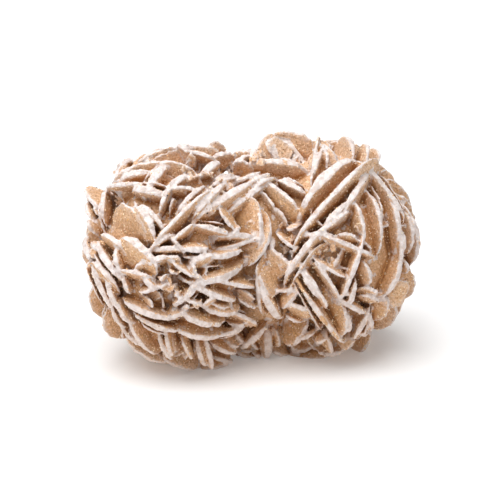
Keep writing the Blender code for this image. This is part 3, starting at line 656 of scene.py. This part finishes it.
def fan_plates(number, lobe, compass, height, roll, count, half_long):
    """The nested plates of one fan, their rims on the lobe's surface."""
    uneven = random.Random(number)
    compass = math.radians(compass)
    height = math.radians(height)
    level = math.cos(height)
    out = Vector((level * math.cos(compass), level * math.sin(compass), math.sin(height)))
    surface = on_lobe(lobe, out)
    spin = Matrix.Rotation(math.radians(roll), 3, out)
    along = spin @ out.cross(Vector((0, 0, 1))).normalized()
    across = out.cross(along)
    plates = []
    for index in range(count):
        place = index - (count - 1) / 2 + uneven.uniform(-FAN_UNEVEN, FAN_UNEVEN)
        size = 1 + uneven.uniform(-FAN_UNEVEN, FAN_UNEVEN) * FAN_UNEVEN_SIZE
        size -= FAN_SHRINK * abs(place)
        lean = FAN_TURN * (place + uneven.uniform(-FAN_UNEVEN, FAN_UNEVEN))
        outward = Matrix.Rotation(math.radians(lean), 3, along) @ out
        drift = along * uneven.uniform(-FAN_UNEVEN, FAN_UNEVEN) * half_long
        bow = FAN_BOW * (FAN_PITCH * place) ** 2
        tip = surface - across * (FAN_PITCH * place) - out * bow + drift
        twist = uneven.uniform(-FAN_UNEVEN, FAN_UNEVEN) * FAN_UNEVEN_TWIST
        blade = Matrix.Rotation(twist, 3, outward) @ along
        half_deep = min(DEEPEST_HALF, half_long * FAN_DEEP) * size
        edge = FAN_EDGE * (1 + uneven.uniform(-FAN_UNEVEN, FAN_UNEVEN))
        middle = tip - outward * half_deep
        plates.append((middle, blade, outward, half_long * size, half_deep, edge, ROUND))
    return plates


def foot(right, back, compass, half_long):
    """A low blade that stands on the surface below."""
    compass = math.radians(compass)
    along = Vector((math.cos(compass), math.sin(compass), 0))
    middle = Vector((right, back, FOOT_MIDDLE))
    return middle, along, Vector((0, 0, -1)), half_long, FOOT_HALF_HEIGHT, FOOT_EDGE, ROUND


def shard_frames(seed, count, lobes, half_long, left_out):
    """Small broken blades at random on the lobes, between the plates."""
    chance = random.Random(seed)
    frames = []
    for _ in range(count):
        lobe = chance.choice(lobes)
        out = any_way(chance).normalized()
        if out.dot(TOWARDS) > SHOWN_FACING and chance.random() < left_out:
            continue
        tip = on_lobe(lobe, out, chance.uniform(*SHARD_REACH))
        beside = any_way(chance)
        along = out.cross(beside).normalized()
        outward = square_to((out + beside * SHARD_LEAN).normalized(), along)
        long = half_long[0] + (half_long[1] - half_long[0]) * chance.random() ** 2
        deep = long * chance.uniform(*SHARD_DEEP)
        edge = chance.uniform(*SHARD_EDGE)
        shape = chance.choice(SHARD_SHAPES)
        frames.append((tip - outward * deep, along, outward, long, deep, edge, shape))
    return frames


def crumb_frames():
    """Crumbs of broken blades where the show side is rough."""
    chance = random.Random(CRUMB_SEED)
    frames = []
    for drawn, spread, count in CRUMB_BEDS:
        for _ in range(count):
            place = (chance.gauss(drawn[0], spread), chance.gauss(drawn[1], spread))
            middle = seen(place, sink=chance.uniform(*CRUMB_SINK))
            along = any_way(chance).normalized()
            outward = square_to(any_way(chance), along)
            long = chance.uniform(*CRUMB_LONG)
            deep = long * chance.uniform(*CRUMB_DEEP)
            edge = chance.uniform(*CRUMB_EDGE)
            frames.append((middle, along, outward, long, deep, edge, chance.choice(SHARD_SHAPES)))
    return frames


def echo_frames(plates):
    """Thinner blades that grew beside some of the plates."""
    chance = random.Random(ECHO_SEED)
    frames = []
    for middle, along, outward, half_long, half_deep, edge, square in plates:
        if chance.random() > ECHO_SHARE:
            continue
        beside = chance.choice((-1, 1)) * (edge / 2 + chance.uniform(*ECHO_GAP))
        drift = along * half_long * chance.uniform(-ECHO_DRIFT, ECHO_DRIFT)
        place = middle + along.cross(outward) * beside + drift - outward * chance.uniform(*ECHO_SINK)
        long = half_long * chance.uniform(*ECHO_SIZE)
        twist = Matrix.Rotation(chance.uniform(-ECHO_TWIST, ECHO_TWIST), 3, outward)
        edge = chance.uniform(*ECHO_EDGE)
        frames.append((place, twist @ along, outward, long, half_deep, edge, square))
    return frames


def all_frames():
    """Each plate, sliver and shard: its middle, axes, half sizes, edge and squareness."""
    frames = [shown_plate(*drawn) for drawn in SHOWN]
    for number, fan in enumerate(FANS):
        frames += fan_plates(number, *fan)
    frames += [foot(*blade) for blade in FEET]
    frames += [shown_plate(*drawn) for drawn in SLIVERS]
    frames += echo_frames(frames[: len(SHOWN)])
    for shards in SHARDS:
        frames += shard_frames(*shards)
    return frames


# ---- the fused skin
def lattice(cells, seed):
    """A repeatable random value from 0 to 1 for each whole-number cell."""
    x, y, z = (cells[..., i].astype(np.int64) * HASH_PRIMES[i] for i in range(3))
    mixed = x ^ y ^ z ^ (seed + 1) * HASH_PRIMES[3]
    mixed = (mixed ^ (mixed >> 13)) * HASH_PRIMES[4]
    return ((mixed ^ (mixed >> 16)) & HASH_MASK) / HASH_MASK


def blended(cell, share, value_at):
    """The values at the corners of each point's cell, blended by its place in that cell."""
    total = np.zeros(len(cell))
    for corner in np.ndindex(2, 2, 2):
        weight = np.ones(len(cell))
        for axis in range(3):
            weight = weight * (share[:, axis] if corner[axis] else 1 - share[:, axis])
        total += weight * value_at(cell + np.array(corner))
    return total


def noise(points, size, seed):
    """Smooth noise from -1 to 1 with features of a size, at each point."""
    scaled = points / size
    cell = np.floor(scaled)
    share = scaled - cell
    share = share * share * (3 - 2 * share)
    return blended(cell, share, lambda cells: lattice(cells, seed)) * 2 - 1


def lumps(points, layers):
    """How far layers of lumps lift each point."""
    return sum(height * noise(points, size, seed) for height, size, seed in layers)


def ramp(value, start, end):
    """0 at start, 1 at end, smooth between."""
    share = np.clip((value - start) / (end - start), 0.0, 1.0)
    return share * share * (3 - 2 * share)


def wave_round(chance, strength, wave, angle):
    """One wave round a rim, at random in its strength and place."""
    return chance.normal(0, strength) * np.cos(wave * angle + chance.uniform(0, math.tau))


def plate_rows(number, half_long, half_deep, edge, square):
    """The rings of one plate, from the middle of one face to that of the other: radius, height."""
    chance = np.random.default_rng(number)
    angle = np.linspace(0, math.tau, RIM_POINTS, endpoint=False)
    size = math.sqrt(half_long * half_deep)
    outline = np.abs(np.cos(angle)) ** square + np.abs(np.sin(angle)) ** square
    rim = RIM_SIZE * outline ** (-1 / square)
    for wave in BROAD_WAVES:
        rim += wave_round(chance, BROAD_WAVE / wave, wave, angle)
    for wave in FINE_WAVES:
        rim += wave_round(chance, FINE_WAVE / size, wave, angle)
    thick = np.ones(RIM_POINTS)
    for wave in THICK_WAVES:
        thick += wave_round(chance, THICK_WAVE, wave, angle)
    endward = np.clip(np.abs(rim * np.cos(angle)), 0.0, 1.0)
    taper = END_EDGE + (1 - END_EDGE) * (1 - endward ** END_TAPER[0]) ** END_TAPER[1]
    thick = np.clip(thick, *THICK_RANGE) * taper
    rows = []
    for side in (1, -1):
        for share in RINGS if side == 1 else reversed(RINGS):
            bulge = BELLY + (1 - BELLY) * share**2
            round_off = LAST_RING_HEIGHT if share == RINGS[-1] else 1.0
            height = side * edge / 2 * (bulge + (thick - 1) * share**3) * round_off
            rows.append((share * rim, height))
        if side == 1:
            rows.append((rim, thick * edge / 2 * WALL))
            rows.append((rim, -thick * edge / 2 * WALL))
    return angle, rows


def plate_mesh(number, middle, along, outward, half_long, half_deep, edge, square):
    """One plate's corners and faces in millimetres: a lens with an uneven, rounded rim."""
    angle, rows = plate_rows(number, half_long, half_deep, edge, square)
    axes = np.array([along * half_long, outward * half_deep, along.cross(outward)])
    corners = []
    for radius, height in rows:
        flat = np.stack([radius * np.cos(angle), radius * np.sin(angle), height], axis=1)
        corners.append(flat @ axes)
    for side in (1, -1):
        corners.append(np.array([[0, 0, side * edge / 2 * BELLY]]) @ axes)
    corners = np.concatenate(corners) + np.array(middle)
    top = len(rows) * RIM_POINTS
    last = top - RIM_POINTS
    faces = []
    for row in range(0, last, RIM_POINTS):
        for point in range(RIM_POINTS):
            after = row + (point + 1) % RIM_POINTS
            here = row + point
            faces.append((here, here + RIM_POINTS, after + RIM_POINTS, after))
    for point in range(RIM_POINTS):
        after = (point + 1) % RIM_POINTS
        faces.append((top, point, after))
        faces.append((top + 1, last + after, last + point))
    return corners, faces


def ball_mesh(centre, half, share):
    """A share of an ellipsoid, as corners and faces in millimetres."""
    mesh = bmesh.new()
    bmesh.ops.create_icosphere(mesh, subdivisions=BALL_DETAIL, radius=share)
    corners = np.array([corner.co[:] for corner in mesh.verts]) * np.array(half) + np.array(centre)
    lift = lumps(corners, MASS_LUMPS)
    corners += lift[:, None] * (corners - np.array(centre)) / np.array(half)
    faces = [tuple(corner.index for corner in face.verts) for face in mesh.faces]
    mesh.free()
    return corners, faces


def joined(parts):
    """Several (corners, faces) as one."""
    corners = []
    faces = []
    count = 0
    for some_corners, some_faces in parts:
        corners.append(some_corners)
        faces += [tuple(index + count for index in face) for face in some_faces]
        count += len(some_corners)
    return np.concatenate(corners), faces


def mesh_data(name, corners, faces):
    """A mesh from corners in millimetres."""
    data = bpy.data.meshes.new(name)
    data.from_pydata((corners * MM).tolist(), [], faces)
    return data


def remade(corners, faces, kind, **settings):
    """A mesh after one modifier: its corners, and the corners of its faces one after another."""
    lump = bpy.data.objects.new("lump", mesh_data("lump", corners, faces))
    bpy.context.scene.collection.objects.link(lump)
    modifier = lump.modifiers.new("lump", kind)
    for key, value in settings.items():
        setattr(modifier, key, value)
    evaluated = lump.evaluated_get(bpy.context.evaluated_depsgraph_get())
    data = evaluated.to_mesh()
    co = np.empty(len(data.vertices) * 3)
    data.vertices.foreach_get("co", co)
    loops = np.empty(len(data.loops), dtype=np.int64)
    data.loops.foreach_get("vertex_index", loops)
    evaluated.to_mesh_clear()
    bpy.data.objects.remove(lump)
    return co.reshape(-1, 3) / MM, loops


def fused(corners, faces):
    """The overlapping closed forms as one skin: corners and four-sided faces."""
    corners, loops = remade(corners, faces, "REMESH", mode="VOXEL", voxel_size=VOXEL * MM)
    return corners, loops.reshape(-1, 4)


def attached(corners, quads):
    """The largest skin alone: blades that touch nothing and sealed hollows are left out."""
    skin = np.arange(len(corners))
    while True:
        least = skin[quads].min(axis=1)
        joined_skin = skin.copy()
        for side in range(4):
            np.minimum.at(joined_skin, quads[:, side], least)
        joined_skin = joined_skin[joined_skin]
        if (joined_skin == skin).all():
            break
        skin = joined_skin
    largest = np.bincount(skin[quads[:, 0]]).argmax()
    used, kept = np.unique(quads[skin[quads[:, 0]] == largest], return_inverse=True)
    return corners[used], kept.reshape(-1, 4)


def thinned(corners, quads):
    """The skin with fewer triangles where it is flat: corners and three-sided faces."""
    ratio = min(1.0, FINE_TRIANGLES / (2 * len(quads)))
    settings = {"ratio": ratio, "use_collapse_triangulate": True}
    corners, loops = remade(corners, quads.tolist(), "DECIMATE", **settings)
    return corners, loops.reshape(-1, 3)


def normals_of(corners, faces):
    """The corners' normals, from the faces round each."""
    first = corners[faces[:, 0]]
    across = np.cross(corners[faces[:, 1]] - first, corners[faces[:, -1]] - first)
    normals = np.zeros_like(corners)
    for side in range(faces.shape[1]):
        for axis in range(3):
            normals[:, axis] += np.bincount(faces[:, side], across[:, axis], len(corners))
    return normals / np.maximum(np.linalg.norm(normals, axis=1), TINY)[:, None]


def weathered(corners, quads, frames):
    """The skin with its crust: knobbly rims, sandy faces and clotted gaps."""
    normals = normals_of(corners, quads)
    rim, _ = rim_and_tint(corners, normals, frames)
    lift = lumps(corners, SKIN_LUMPS)
    lift += rim * lumps(corners, RIM_LUMPS)
    lift += ramp(depth_in(corners), *GAP_DEEP) * lumps(corners, GAP_LUMPS)
    lift *= ramp(corners[:, 2], *RESTING_CALM)
    return corners + normals * lift[:, None]


def fine_skin(frames, crumbs):
    """The mass, its plates and its crumbs as one weathered skin, which stays above the floor."""
    parts = [ball_mesh(*lobe, MASS_SHARE) for lobe in LOBES]
    parts += [ball_mesh(*sole, 1.0) for sole in SOLES]
    parts += [plate_mesh(number, *frame) for number, frame in enumerate(frames + crumbs)]
    corners, quads = attached(*fused(*joined(parts)))
    corners = weathered(corners, quads, frames)
    corners, triangles = thinned(corners, quads)
    corners[:, 2] = np.maximum(corners[:, 2], 0.0)
    return corners, triangles


# ---- the painted values
def rim_and_tint(points, normals, frames):
    """How frosted each point is by a plate's rim, from 0 to 1, and a shade for the plate it lies on."""
    rim = np.zeros(len(points))
    tint = np.full(len(points), UNTINTED)
    nearest = np.full(len(points), FAR)
    for number, (middle, along, outward, half_long, half_deep, edge, square) in enumerate(frames):
        offset = points - np.array(middle)
        reach = max(half_long, half_deep) * PLATE_REACH
        close = np.nonzero((offset**2).sum(axis=1) < reach**2)[0]
        offset = offset[close]
        normal = np.array(along.cross(outward))
        across = offset @ np.array(along) / half_long
        deep = offset @ np.array(outward) / half_deep
        height = np.abs(offset @ normal) - edge / 2
        facing = np.abs(normals[close] @ normal)
        share = (np.abs(across) ** square + np.abs(deep) ** square) ** (1 / square)
        inward = (1 - share) * math.sqrt(half_long * half_deep)
        on_face = (np.abs(height) < RIM_SKIN) & (share < FACE_REACH) & (facing > FACE_FACING)
        on_wall = (height < WALL_SKIN) & (np.abs(inward) < WALL_BAND * RIM_SKIN)
        on_wall &= facing < WALL_FACING
        band = min(RIM_BAND, RIM_BAND_SHARE * half_deep)
        here = np.where(on_face, FACE_FROST * np.exp(-np.clip(inward, 0.0, None) / band), 0.0)
        here = np.where(on_wall, 1.0, here)
        rim[close] = np.maximum(rim[close], here)
        closer = on_face & (np.abs(height) < nearest[close])
        nearest[close[closer]] = np.abs(height[closer])
        tint[close[closer]] = lattice(np.array([[number, 0, 0]]), TINT_SEED)[0]
    return rim, tint


def depth_in(points):
    """How deep each point lies below the lobes' reach, from 0 at the rims to 1 at the mass."""
    deep = np.full(len(points), FAR)
    for centre, half in LOBES:
        reach = np.linalg.norm((points - np.array(centre)) / np.array(half), axis=1)
        deep = np.minimum(deep, (1 - reach) * sum(half) / 3)
    return np.clip(deep / DEEPEST_GAP, 0.0, 1.0)


def cells_near(middle, reach):
    """The crowding grid's cells round a point: their slices and places."""
    first = np.floor((np.array(middle) - reach - GRID_LOW) / GRID_CELL).astype(int)
    last = np.ceil((np.array(middle) + reach - GRID_LOW) / GRID_CELL).astype(int)
    first = np.maximum(first, 0)
    last = np.maximum(np.minimum(last, GRID_SHAPE), first)
    box = tuple(slice(first[axis], last[axis]) for axis in range(3))
    steps = (np.arange(first[axis], last[axis]) for axis in range(3))
    places = np.stack(np.meshgrid(*steps, indexing="ij"), axis=-1)
    return box, places * GRID_CELL + GRID_LOW


def filled(frames):
    """A grid of the rose's box: 1 inside the mass and its plates, 0 outside."""
    grid = np.zeros(GRID_SHAPE)
    for centre, half in LOBES:
        box, places = cells_near(centre, max(half))
        reach = (((places - np.array(centre)) / np.array(half)) ** 2).sum(axis=-1)
        grid[box] = np.maximum(grid[box], reach < MASS_SHARE**2)
    for middle, along, outward, half_long, half_deep, edge, square in frames:
        box, places = cells_near(middle, max(half_long, half_deep))
        offset = places - np.array(middle)
        across = np.abs(offset @ np.array(along) / half_long) ** square
        deep = np.abs(offset @ np.array(outward) / half_deep) ** square
        height = np.abs(offset @ np.array(along.cross(outward)))
        inside = np.clip((edge / 2 - height) / GRID_CELL + 0.5, 0.0, 1.0) * (across + deep < 1)
        grid[box] = np.maximum(grid[box], inside)
    return grid


def blurred(grid, reach):
    """The grid with each cell as the mean of those round it, twice over."""
    for axis in (0, 1, 2, 0, 1, 2):
        margin = [(reach + 1, reach) if one == axis else (0, 0) for one in range(3)]
        total = np.moveaxis(np.cumsum(np.pad(grid, margin), axis=axis), axis, 0)
        width = 2 * reach + 1
        grid = np.moveaxis((total[width:] - total[:-width]) / width, 0, axis)
    return grid


def crowding(points, normals, frames):
    """How hemmed in each point is by the rose round it, from 0 in the open to 1 in a narrow gap."""
    grid = blurred(filled(frames), CROWD_REACH)
    scaled = (points + normals * CROWD_OUT - GRID_LOW) / GRID_CELL
    scaled = np.clip(scaled, 0, np.array(GRID_SHAPE) - LAST_CELL)
    cell = np.floor(scaled).astype(int)
    crowd = blended(cell, scaled - cell, lambda cells: grid[tuple(cells.T)])
    return ramp(crowd, *CROWD_RANGE)


def painted(corners, normals, frames, crumbs):
    """The values painted on the skin, by name."""
    rim, tint = rim_and_tint(corners, normals, frames)
    rim = np.maximum(rim, CRUMB_FROST * rim_and_tint(corners, normals, crumbs)[0])
    crowd = crowding(corners, normals, frames)
    return {"rim": rim, "tint": tint, "deep": depth_in(corners), "crowd": crowd}


# ---- the pieces
def regions(corners, triangles):
    """The faces of each piece: the skin in slabs along X that keep within the limit."""
    middles = corners[triangles[:, 0], 0]
    order = np.argsort(middles, kind="stable")
    count = math.ceil(len(triangles) / PIECE_LIMIT)
    return np.array_split(order, count)


def piece_object(name, corners, faces, values, material):
    """A piece in the frame's place: its mesh, its painted values and its material."""
    data = mesh_data(name, corners + np.array(SHIFT), faces)
    for value_name, value in values.items():
        data.attributes.new(value_name, "FLOAT", "POINT").data.foreach_set("value", value)
    data.shade_smooth()
    data.materials.append(material)
    piece = bpy.data.objects.new(name, data)
    bpy.context.scene.collection.objects.link(piece)
    return piece


def grain_mesh(corners, normals, rim, deep):
    """Loose grains of sand on the faces, as one mesh, and their corners' shade and depth."""
    chance = np.random.default_rng(GRAIN_SEED)
    weight = (GRAIN_ON_TOP + deep) * (1 - GRAIN_SHY * rim) * (corners[:, 2] > GRAIN_LOWEST)
    spots = chance.choice(len(corners), GRAINS, replace=False, p=weight / weight.sum())
    base = np.array(OCTAHEDRON, dtype=float)
    upper = [(side, (side + 1) % 4, 4) for side in range(4)]
    lower = [((side + 1) % 4, side, 5) for side in range(4)]
    half = chance.uniform(*GRAIN_HALF, (GRAINS, 1, 1)) * chance.uniform(*GRAIN_STRETCH, (GRAINS, 1, 3))
    turn = np.linalg.qr(chance.normal(size=(GRAINS, 3, 3)))[0]
    places = corners[spots] + normals[spots] * GRAIN_OUT
    grain_corners = (base[None] * half) @ turn + places[:, None, :]
    faces = np.array(upper + lower)[None] + (np.arange(GRAINS) * len(base))[:, None, None]
    shade = np.repeat(chance.uniform(0, 1, GRAINS), len(base))
    sunk = np.repeat(deep[spots], len(base))
    values = {"shade": shade, "sunk": sunk}
    return grain_corners.reshape(-1, 3), faces.reshape(-1, 3).tolist(), values


# ---- materials
class Nodes:
    """A small helper that adds and links a material's nodes."""

    def __init__(self, name):
        self.material = bpy.data.materials.new(name)
        self.material.use_nodes = True
        self.tree = self.material.node_tree
        self.shader = self.tree.nodes["Principled BSDF"]

    def add(self, kind, values=(), **settings):
        node = self.tree.nodes.new(kind)
        for key, value in settings.items():
            setattr(node, key, value)
        for key, value in dict(values).items():
            self.put(value, node.inputs[key])
        return node

    def put(self, value, socket):
        if isinstance(value, bpy.types.NodeSocket):
            self.tree.links.new(value, socket)
        else:
            socket.default_value = value

    def value(self, name):
        return self.add("ShaderNodeAttribute", attribute_name=name).outputs["Fac"]

    def maths(self, operation, *values):
        node = self.add("ShaderNodeMath", operation=operation)
        for socket, value in zip(node.inputs, values):
            self.put(value, socket)
        return node.outputs[0]

    def span(self, value, low, high, to_low=0.0, to_high=1.0):
        given = {"Value": value, "From Min": low, "From Max": high, "To Min": to_low, "To Max": to_high}
        return self.add("ShaderNodeMapRange", given, interpolation_type="SMOOTHSTEP").outputs[0]

    def mix(self, share, first, second):
        node = self.add("ShaderNodeMix", data_type="RGBA")
        for index, value in ((0, share), (6, first), (7, second)):
            self.put(value, node.inputs[index])
        return node.outputs[2]

    def noise(self, per_metre, detail):
        values = {"Scale": per_metre, "Detail": detail, "Vector": self.place}
        return self.add("ShaderNodeTexNoise", values).outputs[0]

    def cells(self, per_metre):
        return self.add("ShaderNodeTexVoronoi", {"Scale": per_metre, "Vector": self.place})

    @property
    def place(self):
        return self.add("ShaderNodeTexCoord").outputs["Object"]

    @property
    def height(self):
        return self.add("ShaderNodeSeparateXYZ", {"Vector": self.place}).outputs["Z"]


def gypsum_material():
    """Sandy faces, frosty rims and brown gaps, from the skin's painted values: the gaps' brown and the
    dimmer inner and low rims are partly painted shade, the paler crown is painted light, and bright
    specks are painted glints.
    """
    n = Nodes("gypsum")
    tint = n.value("tint")
    mottle = n.noise(*MOTTLE)
    sand = n.cells(SANDY)
    speck = n.cells(SPECKLED).outputs["Color"]
    crowd = n.maths("MAXIMUM", n.value("crowd"), n.value("deep"))
    # The gaps' painted shade is lifted towards the crown: painted light that shines through the thin
    # plates there.
    hemmed = n.maths("MULTIPLY", crowd, n.span(n.height, *CROWN_LIGHT_IN_GAPS))
    face = n.mix(n.span(n.noise(*PATCHES), *OCHRE_PATCHES), FACE_TAN, FACE_OCHRE)
    face = n.mix(n.span(tint, *PALE_PLATES), face, FACE_PALE)
    face = n.mix(n.span(mottle, *HONEY_MOTTLE), face, FACE_HONEY)
    # Faces paler towards the crown: painted light from above.
    face = n.mix(n.span(n.height, *LIT_PALE_CROWN), face, FACE_LIT_PALE)
    # Gaps hemmed in by plates turn honey, then brown: partly the sand's own colour, partly painted
    # shade where less light reaches.
    face = n.mix(n.span(hemmed, *HONEY_GAPS_AND_SHADE), face, FACE_HONEY)
    face = n.mix(n.span(hemmed, *BROWN_GAPS_AND_SHADE), face, GAP_BROWN_AND_SHADE)
    face = n.mix(n.span(sand.outputs["Color"], *DARK_SAND), face, GRAIN_DARK)
    # Painted glints: bright specks painted into the faces' colour where the speckle is high.
    glint = n.maths("GREATER_THAN", speck, GLINT_ABOVE)
    face = n.mix(n.maths("MULTIPLY", glint, GLINT_SHARE), face, PAINTED_GLINT)
    frost = n.maths("ADD", n.value("rim"), n.span(n.noise(*RAGGED), *RAGGED_RIMS))
    frost = n.span(frost, *FROST_EDGE)
    # Rim frost fades where worn; inner rims in the gaps are dimmer, partly less frosted and partly
    # painted shade; low rims are darker as painted shade.
    for value, span in ((n.noise(*WORN), WORN_FROST), (hemmed, GAP_FROST_AND_SHADE), (n.height, SKIRT_RIM_SHADE)):
        frost = n.maths("MULTIPLY", frost, n.span(value, *span))
    white = n.mix(n.span(mottle, *GREY_MOTTLE), RIM_GREY, RIM_CREAM)
    white = n.mix(n.span(tint, *GREY_PLATES), white, RIM_GREY)
    bump = n.add("ShaderNodeBump", {**SAND_BUMP, "Height": sand.outputs["Distance"]})
    n.put(n.mix(frost, face, white), n.shader.inputs["Base Color"])
    n.put(n.span(speck, *SPECK_ROUGHNESS), n.shader.inputs["Roughness"])
    n.put(bump.outputs[0], n.shader.inputs["Normal"])
    return n.material


def grain_material():
    """Grains of sand, each in its own shade, some painted as glints, and darker in the gaps: partly
    their own brown, partly painted shade.
    """
    n = Nodes("sand_grains")
    shade = n.value("shade")
    # the palest grains are painted glints
    colour = n.mix(n.span(shade, *PALE_GRAINS), PAINTED_GLINT, FACE_PALE)
    colour = n.mix(n.span(shade, *ORANGE_GRAINS), colour, GRAIN_ORANGE)
    colour = n.mix(n.span(shade, *DARK_GRAINS), colour, GRAIN_DARK)
    colour = n.mix(n.span(shade, *BLACK_GRAINS), colour, GRAIN_BLACK)
    # grains deep in the gaps darken towards brown: partly the sand's own colour, partly painted shade
    colour = n.mix(n.span(n.value("sunk"), *SHADED_SUNK_GRAINS), colour, GAP_BROWN_AND_SHADE)
    n.put(colour, n.shader.inputs["Base Color"])
    n.shader.inputs["Roughness"].default_value = GRAIN_ROUGHNESS
    return n.material


def floor_material():
    """A pale floor that glows a little more away from the rose."""
    n = Nodes("floor")
    n.shader.inputs["Base Color"].default_value = FLOOR_GREY
    n.shader.inputs["Roughness"].default_value = FLOOR_ROUGHNESS
    n.shader.inputs["Emission Color"].default_value = WHITE
    near = n.add("ShaderNodeTexGradient", {"Vector": n.place}, gradient_type="SPHERICAL").outputs[0]
    n.put(n.span(near, *FLOOR_GLOW), n.shader.inputs["Emission Strength"])
    return n.material


# ---- the scene
def studio(target):
    """Camera, floor, lights and a pale surrounding."""
    scene = bpy.context.scene
    camera = bpy.data.objects.new("camera", bpy.data.cameras.new("camera"))
    scene.collection.objects.link(camera)
    scene.camera = camera
    camera.data.sensor_width = SENSOR
    camera.data.lens = SENSOR * VIEW_DISTANCE / FRAME_WIDTH
    camera.data.clip_end = CLIP_END
    camera.location = target + TOWARDS * VIEW_DISTANCE * MM
    camera.rotation_euler = TOWARDS.to_track_quat("Z", "Y").to_euler()
    bpy.ops.mesh.primitive_plane_add(size=FLOOR_SIZE)
    floor = bpy.context.object
    floor.name = "floor"
    floor.data.materials.append(floor_material())
    for name, place, size, watts in LIGHTS:
        lamp = bpy.data.objects.new(name, bpy.data.lights.new(name, "AREA"))
        lamp.data.size = size
        lamp.data.energy = watts
        lamp.location = place
        lamp.rotation_euler = (Vector(place) - target).to_track_quat("Z", "Y").to_euler()
        scene.collection.objects.link(lamp)
    world = bpy.data.worlds.new("surrounding")
    world.use_nodes = True
    world.node_tree.nodes["Background"].inputs["Color"].default_value = WHITE
    world.node_tree.nodes["Background"].inputs["Strength"].default_value = SURROUNDING
    scene.world = world
    scene.view_settings.view_transform = "Standard"


def main():
    frames = all_frames()
    crumbs = crumb_frames()
    corners, triangles = fine_skin(frames, crumbs)
    normals = normals_of(corners, triangles)
    values = painted(corners, normals, frames, crumbs)
    gypsum = gypsum_material()
    for number, chosen in enumerate(regions(corners, triangles)):
        used, faces = np.unique(triangles[chosen], return_inverse=True)
        own = {name: value[used] for name, value in values.items()}
        name = f"rose_{number + 1}"
        piece = piece_object(name, corners[used], faces.reshape(-1, 3).tolist(), own, gypsum)
        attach(piece, "root")
        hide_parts(NAME)
    grain_parts = grain_mesh(corners, normals, values["rim"], values["deep"])
    grains = piece_object("sand_grains", *grain_parts, grain_material())
    grains.data.shade_flat()
    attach(grains, "root")
    studio((DRAWING_MIDDLE + Vector(SHIFT)) * MM)


main()
